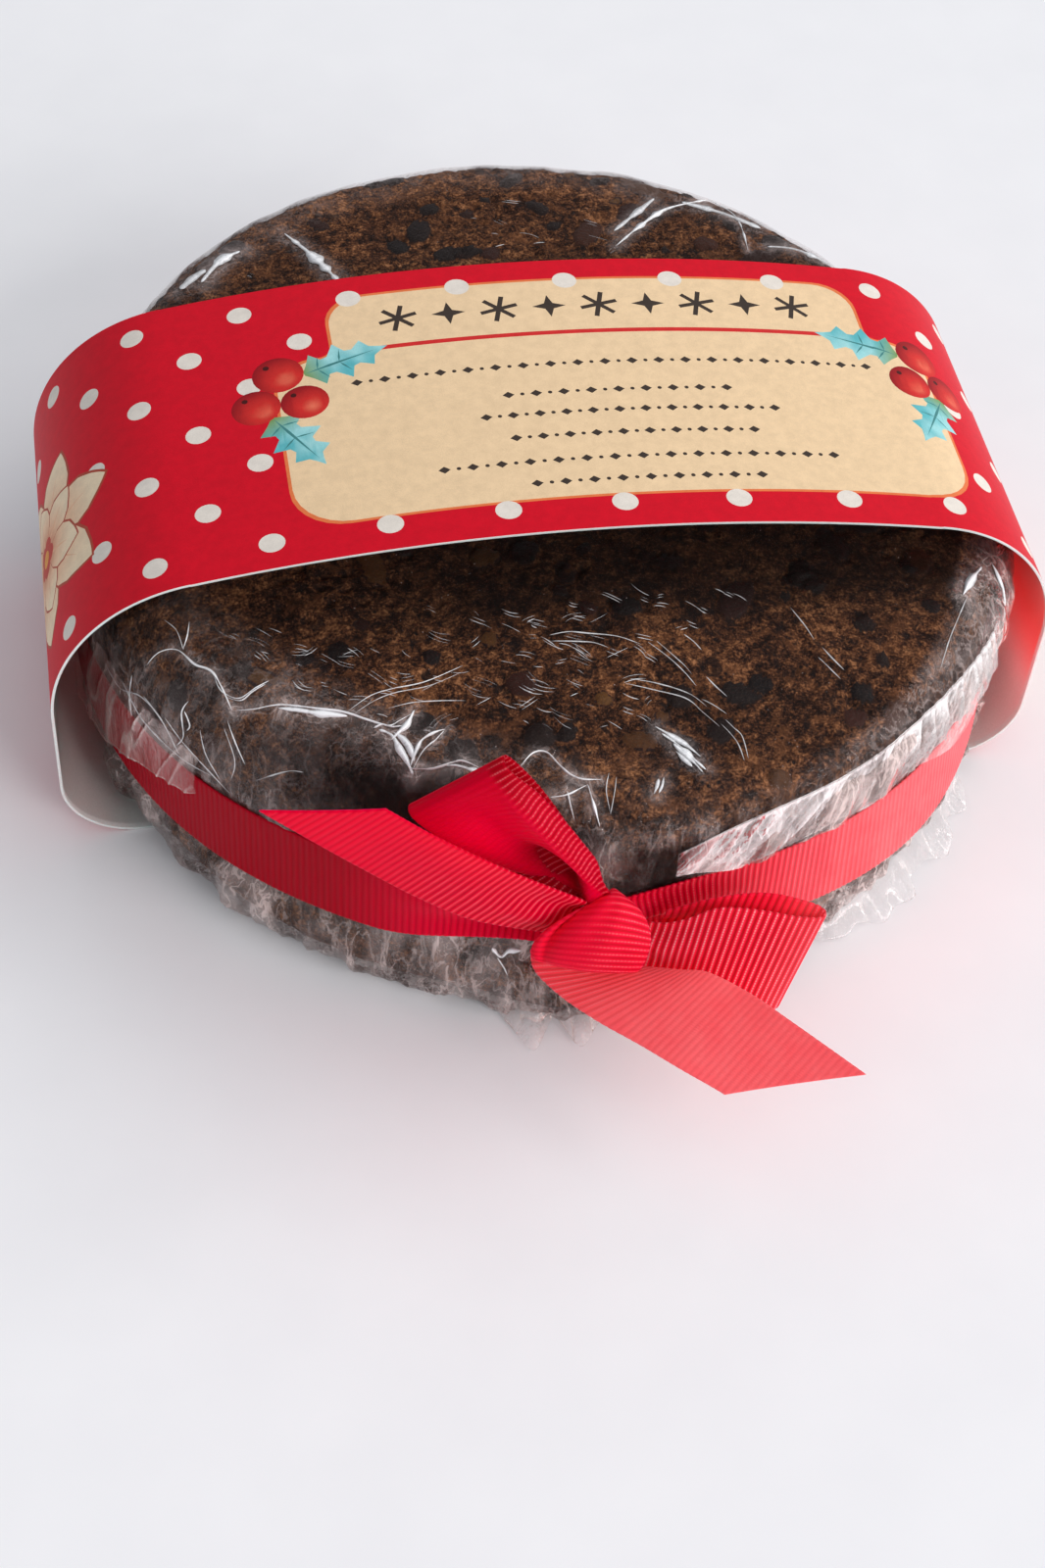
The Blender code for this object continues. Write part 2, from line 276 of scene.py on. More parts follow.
def cake_material():
    s = Shader("fruit_cake")
    at = s.place()
    patches = s.noise(at, 0.09, 4.0, 0.6)
    crumbs = s.noise(at, 0.62, 5.0, 0.75)
    grains = s.noise(at, 2.2, 3.0, 0.65)
    tone = s.math("ADD", s.math("MULTIPLY", patches, 0.25), s.math("MULTIPLY", crumbs, 0.55))
    tone = s.math("ADD", tone, s.math("MULTIPLY", grains, 0.38))
    crumb = s.ramp(tone, [
        (0.46, (0.0050, 0.0026, 0.0018)),
        (0.54, (0.018, 0.0070, 0.0042)),
        (0.59, (0.057, 0.0215, 0.0105)),
        (0.645, (0.135, 0.052, 0.0215)),
        (0.75, (0.42, 0.185, 0.080)),
    ])
    warm = s.spread(s.noise(at, 0.21, 3.0, 0.6, 0.3), 0.53, 0.66)
    crumb = s.mix(s.math("MULTIPLY", warm, 0.40), crumb, s.mix(grains, (0.05, 0.018, 0.009, 1.0), (0.25, 0.095, 0.036, 1.0)))
    lump = s.spread(s.noise(s.place((1.0, 1.0, 1.2)), 0.30, 4.0, 0.6, 0.4), 0.57, 0.64)
    crumb = s.mix(s.math("MULTIPLY", lump, 0.75), crumb, (0.0075, 0.0050, 0.0052, 1.0))
    speck = s.node("ShaderNodeTexVoronoi", out=0, Vector=at, Scale=0.62)
    pores = s.spread(speck, 0.12, 0.30)
    crumb = s.mix(s.spread(s.noise(at, 0.33, 3.0), 0.50, 0.60), crumb,
                  s.mix(pores, (0.010, 0.006, 0.005, 1.0), crumb))
    fruit = s.value("fruit")
    kind = s.value("kind")
    skin = s.ramp(kind, [
        (0.0, (0.0045, 0.0035, 0.0042)),
        (0.62, (0.011, 0.0055, 0.0050)),
        (0.86, (0.040, 0.011, 0.007)),
        (0.97, (0.12, 0.050, 0.014)),
    ])
    skin = s.mix(s.spread(grains, 0.35, 0.7), skin, s.mix(0.5, skin, (0.028, 0.016, 0.012, 1.0)))
    colour = s.mix(s.spread(fruit, 0.25, 0.6), crumb, skin)
    # painted shade: the value 'shade' darkens crumb and fruit towards near-black in the recess at the front left,
    # behind the knot and under the sleeve's front edge
    colour = s.mix(s.value("shade"), colour, (0.004, 0.0022, 0.0018, 1.0))
    relief = s.math("ADD", s.math("MULTIPLY", crumbs, 0.7), s.math("MULTIPLY", grains, 0.3))
    rough = s.mix(fruit, (0.82,) * 3 + (1.0,), (0.42,) * 3 + (1.0,))
    return s.set(Base_Color=colour, Roughness=rough, Specular_IOR_Level=0.12, Normal=s.bump(relief, 0.55, 0.9))


def film_material(name, haze, gloss, tint, rough=0.10):
    """Clear film: see-through, whiter and more reflecting where its point value says that it lies in folds. The
    whiteness is partly the haze of film in several layers and partly painted highlight where folds catch the light.
    """
    s = Shader(name)
    at = s.place()
    layers_and_painted_highlight = s.value("layers_and_painted_highlight")
    tall = s.place((1.0, 1.0, 0.24))
    streaks = s.noise(tall, 0.42, 3.0, 0.5, 0.5)
    lines = s.spread(s.math("ABSOLUTE", s.math("SUBTRACT", streaks, 0.5)), 0.050, 0.002)
    cross = s.noise(s.place((1.0, 1.0, 0.5), (0.3, 0.5, 0.2)), 0.80, 2.0, 0.5, 0.8)
    lines = s.math("MAXIMUM", lines, s.math("MULTIPLY", s.spread(s.math("ABSOLUTE", s.math("SUBTRACT", cross, 0.5)), 0.030, 0.002), 0.6))
    cloud = s.spread(s.noise(tall, 0.20, 2.0, 0.5, 0.3), 0.36, 0.66, 0.18, 0.85)
    relief = s.math("ADD", s.math("MULTIPLY", s.noise(at, 0.16, 2.0, 0.5), 1.0), s.math("MULTIPLY", streaks, 0.7))
    relief = s.math("ADD", relief, s.math("MULTIPLY", cross, 0.3))
    normal = s.bump(relief, 0.9, 0.7)
    edge = s.node("ShaderNodeFresnel", IOR=1.45, Normal=normal)
    cover = s.math("MULTIPLY", edge, s.math("MULTIPLY_ADD", layers_and_painted_highlight, gloss, 0.03))
    # the white share: partly the haze of film in several layers, partly painted highlight along the streaks and clouds
    # of the folds
    milk_and_painted_highlight = s.math("MULTIPLY", layers_and_painted_highlight, s.math("MULTIPLY", s.math("MULTIPLY_ADD", lines, 1.0, cloud), haze))
    # pin-point glints where the film touches the crumb
    cell = s.tree.nodes.new("ShaderNodeTexVoronoi")
    cell.inputs["Scale"].default_value = 1.0
    s.link(at, cell.inputs["Vector"])
    near = s.spread(cell.outputs["Distance"], 0.13, 0.06)
    some = s.math("GREATER_THAN", s.node("ShaderNodeSeparateColor", i0=cell.outputs["Color"]), 0.80)
    zone = s.spread(s.noise(at, 0.07, 2.0, 0.5), 0.48, 0.62)
    glint = s.math("MULTIPLY", s.math("MULTIPLY", near, some), s.math("MULTIPLY", zone, 0.34))
    milk_and_painted_highlight = s.math("ADD", milk_and_painted_highlight, glint)
    alpha = s.math("ADD", cover, milk_and_painted_highlight, clamp=True)
    metal = s.math("DIVIDE", cover, s.math("ADD", s.math("ADD", cover, milk_and_painted_highlight), 0.001), clamp=True)
    return s.set(Base_Color=tint + (1.0,), Metallic=metal, Roughness=rough, Alpha=alpha, Normal=normal)


def crease_highlight_material():
    """Film gathered into a sharp crease, drawn white as a painted highlight of the crease catching the light."""
    s = Shader("film_crease_painted_highlight")
    shine = s.value("layers_and_painted_highlight")
    grain = s.noise(s.place(), 1.4, 3.0, 0.6)
    alpha = s.math("MULTIPLY", shine, s.spread(grain, 0.30, 0.62, 1.0, 1.6), clamp=True)
    return s.set(Base_Color=(0.96, 0.97, 0.99, 1.0), Roughness=0.16, Specular_IOR_Level=0.8, Alpha=alpha,
                 Normal=s.bump(grain, 0.12, 0.5))


def paper_material():
    s = Shader("printed_paper")
    at = s.place()
    ink = s.node("ShaderNodeAttribute", out=0, set_attribute_name="ink")
    mottle = s.noise(at, 0.55, 4.0, 0.6)
    fibre = s.noise(at, 5.0, 2.0, 0.5)
    shade = s.spread(s.math("ADD", s.math("MULTIPLY", mottle, 0.6), s.math("MULTIPLY", fibre, 0.4)), 0.3, 0.7, 0.90, 1.06)
    colour = s.node("ShaderNodeVectorMath", set_operation="SCALE", i0=ink, Scale=shade)
    return s.set(Base_Color=colour, Roughness=0.5, Specular_IOR_Level=0.12, Normal=s.bump(fibre, 0.05, 0.5))


def white_paper_material():
    s = Shader("bare_paper")
    fibre = s.noise(s.place(), 3.0, 3.0, 0.6)
    colour = s.ramp(fibre, [(0.3, (0.66, 0.645, 0.625)), (0.7, (0.74, 0.73, 0.715))])
    split = s.tree.nodes.new("ShaderNodeSeparateXYZ")
    s.link(s.place(), split.inputs[0])
    inside = s.spread(split.outputs[1], -34.05, -33.3)
    # painted light: near the right end the inside is tinted red, as if lit through the paper from outside
    through = s.math("MULTIPLY", s.spread(split.outputs[0], 60.0, 74.0), s.spread(split.outputs[2], 14.0, 30.0, 0.15, 1.0))
    through = s.math("MULTIPLY", through, inside)
    colour = s.mix(through, colour, (0.95, 0.22, 0.20, 1.0))
    # painted shade: the inside at the lower left end is darkened
    painted_shade = s.math("MULTIPLY", s.spread(split.outputs[0], -64.0, -76.0), s.spread(split.outputs[2], 4.0, 22.0, 0.35, 0.92))
    colour = s.mix(s.math("MULTIPLY", painted_shade, inside), colour, (0.13, 0.115, 0.10, 1.0))
    return s.set(Base_Color=colour, Roughness=0.7, Subsurface_Weight=0.6, Subsurface_Radius=(2.0, 1.0, 1.0),
                 Subsurface_Scale=0.001, Normal=s.bump(fibre, 0.06, 0.5))


def ribbon_material(name):
    """Grosgrain: UV runs in millimetres, u along the ribbon and v across it. The values 'lit', 'ribbed' and 'pale' give
    how far the backs of the ribs shine as a painted highlight, how dark the grooves are painted as shade and how far
    the colour is lightened or darkened as painted light and shade, with a painted glow where it is lightened."""
    s = Shader(name)
    uv = s.node("ShaderNodeTexCoord", out=2)
    split = s.tree.nodes.new("ShaderNodeSeparateXYZ")
    s.link(uv, split.inputs[0])
    u, v = split.outputs[0], split.outputs[1]
    wave = s.math("COSINE", s.math("MULTIPLY", u, math.pi / RIB_PITCH))
    rib = s.math("MULTIPLY", wave, wave)
    warp = s.math("ABSOLUTE", s.math("SINE", s.math("MULTIPLY", v, math.pi / 0.42)))
    blotch = s.noise(s.place(), 0.22, 3.0, 0.55)
    pale = s.value("pale")
    # painted shade: the grooves between the ribs are darkened as far as 'ribbed' says
    colour = s.mix(s.math("MULTIPLY", s.value("ribbed"), s.spread(rib, 0.5, 0.05)), srgb(252, 0, 48), srgb(178, 0, 20))
    # painted light and shade: 'pale' above nought lightens towards salmon where the light falls, below nought darkens
    # where it does not
    colour = s.mix(s.math("MULTIPLY", pale, s.spread(blotch, 0.25, 0.7, 0.8, 1.05), clamp=True), colour, srgb(255, 100, 104))
    colour = s.mix(s.math("MULTIPLY", pale, -1.0, clamp=True), colour, srgb(150, 0, 16))
    # painted highlight: light dashes along the backs of the ribs, as far as 'lit' says
    light = srgb(255, 132, 140)
    back = s.math("MULTIPLY", s.spread(rib, 0.76, 0.99), s.spread(warp, 0.15, 0.75, 0.25, 1.0))
    shine = s.math("MULTIPLY", s.math("MULTIPLY", back, s.value("lit")), s.spread(blotch, 0.3, 0.65, 0.6, 1.0), clamp=True)
    colour = s.mix(shine, colour, light)
    relief = s.math("ADD", s.math("MULTIPLY", rib, 0.5), s.math("MULTIPLY", s.math("MULTIPLY", rib, warp), 0.5))
    s.bsdf.inputs["Specular Tint"].default_value = (1.0, 0.36, 0.40, 1.0)
    # painted glow: the emission, as strong as 'pale', makes the lightened parts glow as if lit through the ribbon
    return s.set(Base_Color=colour, Roughness=0.5, Specular_IOR_Level=0.08, Subsurface_Weight=0.40,
                 Emission_Color=(1.0, 0.13, 0.15, 1.0), Emission_Strength=s.math("MULTIPLY", pale, 0.17, clamp=True),
                 Subsurface_Radius=(6.0, 1.2, 1.2), Subsurface_Scale=0.001, Normal=s.bump(relief, 0.08, 0.7))


def floor_material():
    s = Shader("floor")
    grain = s.noise(s.place(), 0.05, 3.0, 0.5)
    colour = s.ramp(grain, [(0.3, (0.858, 0.863, 0.884)), (0.7, (0.880, 0.885, 0.904))])
    return s.set(Base_Color=colour, Roughness=0.33, Specular_IOR_Level=0.35)


# ---------------------------------------------------------------- the cake and its film

def side_sizes(theta):
    """Rim and wall sizes by angle, as in the solids."""
    left_front = lobe(theta, -118.0, 0.50)
    rim = RIM_ROUND + RIM_SIDE_ROUND * np.abs(np.cos(theta)) ** 3 + RIM_CRUMBLED * left_front
    foot = FOOT_ROUND[1] + (FOOT_ROUND[0] - FOOT_ROUND[1]) * np.cos(theta) ** 2
    wall = CAKE_R + 0.2 * np.sin(3.0 * theta + 0.6) + 0.15 * np.sin(5.0 * theta + 2.0)
    rim_z = RIM_Z + RIM_TILT * np.sin(theta) + 0.3 * np.sin(3.0 * theta)
    flare = FLARE * (lobe(theta, -58.0, 0.42) + lobe(theta, 90.0, 0.70))
    skirt = SKIRT * left_front + GATHER * lobe(theta, -95.0, 0.14)
    return rim, foot, wall, rim_z, flare, skirt


def skin(theta, s, lift=0.0, crumble=0.0):
    """Points and outward directions of the wrapped cake. s runs 0 to 1 over the top, to 2 round the rim, to 3 down
    the wall, to 4 round the foot and to 5 under it. crumble rounds the rim further off at the front left."""
    theta, s = np.broadcast_arrays(np.asarray(theta, float), np.asarray(s, float))
    rim, foot, wall, rim_z, flare, skirt = side_sizes(theta)
    extra = crumble * lobe(theta, -122.0, 0.62)
    rim = rim + extra
    low = CAKE_BOTTOM + foot
    top_r = wall + flare - rim
    t = np.clip(s, 0.0, 1.0)
    r = t * top_r
    bump = 0.35 * np.sin(0.09 * r * np.cos(theta) + 1.0) * np.sin(0.11 * r * np.sin(theta)) * (1.0 - t ** 4)
    z = CROWN_Z + (rim_z - CROWN_Z) * t ** 2 + bump
    slope = 2.0 * (CROWN_Z - rim_z) * t / np.maximum(top_r, 1.0)
    nr, nz = slope, np.ones_like(slope)
    a = np.clip(s - 1.0, 0.0, 1.0) * np.pi / 2.0
    on = s > 1.0
    r = np.where(on, top_r + rim * np.sin(a), r)
    z = np.where(on, rim_z - rim + rim * np.cos(a), z)
    nr, nz = np.where(on, np.sin(a), nr), np.where(on, np.cos(a), nz)
    w = np.clip(s - 2.0, 0.0, 1.0)
    on = s > 2.0
    z = np.where(on, (rim_z - rim) * (1.0 - w) + low * w, z)
    r = np.where(on, wall + flare * (1.0 - smooth(0.0, 0.5, w)) + skirt * smooth(0.6, 1.0, w), r)
    nr, nz = np.where(on, 1.0, nr), np.where(on, 0.0, nz)
    b = np.clip(s - 3.0, 0.0, 1.0) * np.pi / 2.0
    on = s > 3.0
    r = np.where(on, wall + skirt * (1.0 - b / (np.pi / 2.0)) - foot + foot * np.cos(b), r)
    z = np.where(on, low - foot * np.sin(b), z)
    nr, nz = np.where(on, np.cos(b), nr), np.where(on, -np.sin(b), nz)
    under = np.clip(s - 4.0, 0.0, 1.0)
    on = s > 4.0
    r = np.where(on, (wall - foot) * (1.0 - under), r)
    z = np.where(on, CAKE_BOTTOM + 0.0 * z, z)
    size = np.hypot(nr, nz)
    n = np.stack([nr / size * np.cos(theta), nr / size * np.sin(theta), nz / size], axis=-1)
    p = np.stack([r * np.cos(theta), r * np.sin(theta), z], axis=-1)
    return p + n * np.asarray(lift)[..., None] if np.ndim(lift) else p + n * lift, n


def round_grid(k, rows):
    """Topology of a closed round body: a square grid folded onto the top, then rings of 8k points at the s values
    in rows, then one hub underneath. Returns (theta, s, faces)."""
    axis = np.arange(-k, k + 1) / k
    a, b = np.meshgrid(axis, axis, indexing="ij")
    rho = np.maximum(np.abs(a), np.abs(b))
    safe = np.where(rho == 0, 1.0, rho)
    with np.errstate(divide="ignore", invalid="ignore"):
        theta = np.where(np.abs(a) >= np.abs(b), np.where(a >= 0, 0.0, np.pi) + np.pi / 4.0 * b / np.where(a == 0, safe, a),
                         np.where(b >= 0, 0.5, 1.5) * np.pi - np.pi / 4.0 * a / np.where(b == 0, safe, b))
    theta = np.where(rho == 0, 0.0, theta) % (2.0 * np.pi)
    side = 2 * k + 1
    index = np.arange(side * side).reshape(side, side)
    rim = np.flatnonzero(rho.ravel() > 1.0 - 0.5 / k)
    rim = rim[np.argsort(theta.ravel()[rim])]
    around = len(rim)
    ring_theta = theta.ravel()[rim]
    thetas = [theta.ravel()] + [ring_theta] * len(rows) + [np.zeros(1)]
    levels = [rho.ravel()] + [np.full(around, r) for r in rows] + [np.full(1, 5.0)]
    faces = [np.stack([index[:-1, :-1], index[1:, :-1], index[1:, 1:], index[:-1, 1:]], axis=-1).reshape(-1, 4)]
    rings = [rim] + [side * side + i * around + np.arange(around) for i in range(len(rows))]
    for upper, lower in zip(rings[:-1], rings[1:]):
        faces.append(np.stack([upper, lower, np.roll(lower, -1), np.roll(upper, -1)], axis=-1))
    hub = side * side + len(rows) * around
    last = rings[-1]
    fan = np.stack([last, np.full(around, hub), np.roll(last, -1)], axis=-1)
    return np.concatenate(thetas), np.concatenate(levels), [np.concatenate(faces), fan]


def make_cake(mat):
    rows = np.r_[np.linspace(1, 2, 20)[1:], np.linspace(2, 3, 42)[1:], np.linspace(3, 4, 12)[1:], 4.1, 4.5]
    theta, s, faces = round_grid(92, rows)
    flat, n = skin(theta, s, lift=-0.45, crumble=3.5)
    rng = np.random.default_rng(7)

    fruit, kind, lift = np.zeros(len(flat)), np.zeros(len(flat)), np.zeros(len(flat))
    for i in range(300):
        on_top = rng.random() < 0.50
        at = rng.uniform(0, 2 * np.pi)
        level = math.sqrt(rng.random()) if on_top else rng.uniform(1.0, 3.4)
        seat, out = skin(at, level, lift=-0.45, crumble=3.5)
        seat = seat.reshape(3)
        size = rng.uniform(0.9, 2.7)
        stretch = rng.uniform(1.0, 2.1)
        axis = rng.normal(size=3)
        axis /= np.linalg.norm(axis)
        near = np.flatnonzero(((flat - seat) ** 2).sum(1) < (size * stretch * 1.6) ** 2)
        d = flat[near] - seat
        along = d @ axis
        dist = np.sqrt(np.maximum((d ** 2).sum(1) - along ** 2, 0.0) + (along / stretch) ** 2) / size
        dist = dist + 0.30 * fractal(flat[near] * 0.75 + 5.0 * i, 2, 17)
        mask = 1.0 - smooth(0.72, 1.05, dist)
        tone = rng.random()
        rise = rng.uniform(0.05, 0.40)
        better = mask > fruit[near]
        kind[near] = np.where(better, tone, kind[near])
        fruit[near] = np.maximum(fruit[near], mask)
        lift[near] += rise * np.sqrt(np.clip(1.0 - dist ** 2, 0.0, 1.0)) - 0.35 * np.exp(-((dist - 1.08) / 0.16) ** 2)

    crumb = 0.34 * fractal(flat * 0.42, 3, 3) + 0.20 * fractal(flat * 1.15, 2, 11)
    pits = smooth(0.40, 0.12, cells(flat * 0.36, 5)) * smooth(-0.1, 0.3, noise(flat * 0.09, 8))
    broken = lobe(theta, -122.0, 0.62) * smooth(0.75, 1.0, s) * smooth(2.4, 1.6, s)
    chunks = broken * (0.9 * fractal(flat * 0.16, 2, 21) - 0.35)
    rough_back = lobe(theta, 95.0, 0.9) * smooth(0.85, 1.05, s) * smooth(2.3, 1.7, s)
    chunks += rough_back * 0.9 * fractal(flat * 0.11, 2, 41)
    height = crumb * (1.0 - 0.6 * fruit) - 0.65 * pits * (1.0 - fruit) + lift + chunks
    height = np.minimum(height, 0.38 + 0.15 * broken * smooth(1.9, 1.4, s) + rough_back * 0.9 * fractal(flat * 0.11, 2, 41))
    height *= smooth(4.0, 3.7, s)
    z = flat[:, 2]
    # painted shade: 'gap' first marks the recess at the front left, which is also pressed in below; the space behind
    # the knot and the top under the sleeve's front edge, darker towards the right, are then added, and all of it goes
    # to the crumb's 'shade' value
    gap = lobe(theta, -117.0, 0.24) * smooth(45.5, 43.0, z) * smooth(27.0, 30.0, z)
    height -= 1.2 * gap
    gap = np.maximum(gap, lobe(theta, -86.0, 0.14) * smooth(41.0, 36.5, z) * smooth(26.0, 29.0, z))
    gap = np.maximum(gap, (0.35 + 0.5 * smooth(-45.0, -10.0, flat[:, 0])) * smooth(-47.0, -35.0, flat[:, 1]) * smooth(20.0, 0.0, flat[:, 1]) * (s < 1.2))
    points = under_band(flat + n * height[:, None])
    return make_object("cake_crumb", points, faces, [mat], node="wrapped_cake",
                       values={"fruit": fruit, "kind": kind, "shade": 0.9 * gap})


def crumples(points):
    """Crumpled film on the wall: 0 in the middle of a facet to 1 on the creases, for the large folds and the small ones."""
    large = cells(points * np.array((0.15, 0.15, 0.06)), 31)
    small = cells(points * np.array((0.42, 0.42, 0.17)), 33)
    return np.clip(large / 0.85, 0.0, 1.0), np.clip(small / 0.85, 0.0, 1.0)


def right_bulge(theta, s):
    """The film stands off the cake at the right, under the sleeve."""
    return 2.0 * lobe(theta, -20.0, 0.30) * smooth(1.1, 1.7, s) * smooth(3.2, 2.4, s)


def film_waves(theta, s):
    """How far the film stands off its even form: crumples on the wall, small swells on the top."""
    p, n = skin(theta, s)
    wall = smooth(1.5, 2.2, s)
    below = smooth(2.45, 2.75, s)
    large, small = crumples(p)
    side = wall * (0.95 * large ** 2 + 0.40 * small ** 2)
    loose = 1.0 + 1.1 * below + 0.8 * lobe(theta, -45.0, 0.4) * smooth(1.3, 1.8, s)
    top = 0.10 * fractal(p * 0.11, 2, 41) * smooth(1.4, 0.9, s)
    top = top + lobe(theta, 95.0, 0.9) * smooth(0.85, 1.05, s) * smooth(2.3, 1.7, s) * 0.9 * fractal(p * 0.11, 2, 41)
    top = top + right_bulge(theta, s)
    return side * loose * smooth(4.0, 3.6, s) + top


def under_band(points):
    """Presses film and crumb in where the ribbon lies over them."""
    r = np.hypot(points[..., 0], points[..., 1])
    z = points[..., 2]
    pressed = smooth(11.8, 13.6, z) * smooth(31.0, 29.6, z)
    limit = BAND_R - 0.12
    scale = np.where(r > limit, 1.0 + (limit / np.maximum(r, 1.0) - 1.0) * pressed, 1.0)
    return points * np.stack([scale, scale, np.ones_like(scale)], axis=-1)


def make_film(mat):
    rows = np.r_[np.linspace(1, 2, 18)[1:], np.linspace(2, 3, 44)[1:], np.linspace(3, 4, 11)[1:], 4.1, 4.5]
    theta, s, faces = round_grid(88, rows)
    lift = 0.28 + film_waves(theta, s)
    lift = np.where(s > 4.0, 0.05, lift)
    points, n = skin(theta, s, lift=lift)
    points = under_band(points)
    points[:, 2] = np.maximum(points[:, 2], 0.62)
    large, small = crumples(skin(theta, s)[0])
    x, y, z = points.T
    # the film spans from the ridge at the front left down to the ribbon, and hangs clear of the crumb below that
    veil = lobe(theta, -126.0, 0.50) * smooth(0.90, 1.02, s) * smooth(2.25, 1.95, s)
    gap = lobe(theta, -117.0, 0.24) * smooth(46.5, 43.5, z) * smooth(29.0, 31.0, z)
    # painted highlight: the film is whiter at the right and along the back rim, where its folds catch the light
    right = (lobe(theta, -48.0, 0.30) + 0.8 * lobe(theta, -20.0, 0.26)) * smooth(1.1, 1.6, s)
    back = lobe(theta, 95.0, 0.9) * smooth(0.88, 1.0, s)
    wall = smooth(1.5, 2.1, s)
    creased = np.maximum(smooth(0.62, 0.95, large), 0.6 * smooth(0.6, 0.95, small))
    layers_and_painted_highlight = 0.24 * veil + 0.45 * right + wall * (1.0 - 0.55 * veil) * (0.40 + 0.42 * creased) + 0.16 * back
    layers_and_painted_highlight *= 0.75 + 0.6 * np.clip(fractal(points * np.array((0.15, 0.15, 0.06)), 3, 51) + 0.3, 0.0, 1.0)
    behind_knot = lobe(theta, -86.0, 0.13) * smooth(42.0, 38.0, z) * smooth(27.0, 30.0, z)
    layers_and_painted_highlight *= 1.0 - 0.9 * np.maximum(gap, behind_knot)
    layers_and_painted_highlight += 5.0 * smooth(math.radians(-80.0), math.radians(-64.0), theta) * smooth(0.0, -0.35, theta) * smooth(16.0, 12.0, z)
    # painted glow: the film is whitened in a soft halo round the wider bright creases
    halo = np.zeros(len(points))
    for path, width, _, bright in CREASES:
        if width < 0.34:
            continue
        line = polyline(path, 0.8)
        d = np.sqrt(((points[:, None, :2] - line[None]) ** 2).sum(-1)).min(1)
        halo = np.maximum(halo, bright * np.exp(-(d / (0.7 + 0.5 * width)) ** 2))
    layers_and_painted_highlight = layers_and_painted_highlight + 0.6 * halo * (s < 2.0)
    return make_object("film", points, faces, [mat], values={"layers_and_painted_highlight": layers_and_painted_highlight})


def polyline(points, step):
    """Smooth curve through the points, resampled at even steps."""
    points = np.asarray(points, float)
    if len(points) == 2:
        fine = points[0] + (points[1] - points[0]) * np.linspace(0, 1, 60)[:, None]
    else:
        fine = spline(points, np.linspace(0.0, len(points) - 1.0, 60 * (len(points) - 1)))
    run = np.r_[0.0, np.cumsum(np.linalg.norm(np.diff(fine, axis=0), axis=1))]
    at = np.linspace(0.0, run[-1], max(4, int(run[-1] / step)))
    return np.stack([np.interp(at, run, fine[:, k]) for k in range(fine.shape[1])], axis=1)


def blade(line, out, width, height, taper=0.5):
    """Closed thin crease along a line: a low ridge with pointed ends. width is one number or one for each point of
    the line. Returns points and four-sided faces."""
    count = len(line)
    tangent = unit(np.gradient(line, axis=0))
    side = unit(np.cross(tangent, out))
    up = np.cross(side, tangent)
    t = np.linspace(0.0, 1.0, count)
    size = np.clip(np.sin(np.pi * t), 0.0, 1.0) ** taper
    size[[0, -1]] = 0.02
    w, h = (0.5 * width * size)[:, None], (height * size)[:, None]
    ring = np.stack([line - side * w, line + up * h, line + side * w, line - up * 0.05 * size[:, None]], axis=1)
    faces = quads(count, 4, wrap_cols=True)
    caps = np.array([[3, 2, 1, 0], [4 * count - 4, 4 * count - 3, 4 * count - 2, 4 * count - 1]])
    return ring.reshape(-1, 3), np.concatenate([faces, caps])


def on_top(xy, lift):
    """Points over (x, y) on the top and rim of the wrapped cake, and the outward directions there."""
    theta = np.arctan2(xy[:, 1], xy[:, 0])
    r = np.hypot(xy[:, 0], xy[:, 1])
    rim, _, wall, _, flare, _ = side_sizes(theta)
    top_r = wall + flare - rim
    over = np.clip((r - top_r) / rim, 0.0, 1.0)
    s = np.where(r <= top_r, r / top_r, 1.0 + np.arcsin(over) * 2.0 / np.pi)
    return skin(theta, s, lift=lift + right_bulge(theta, s))
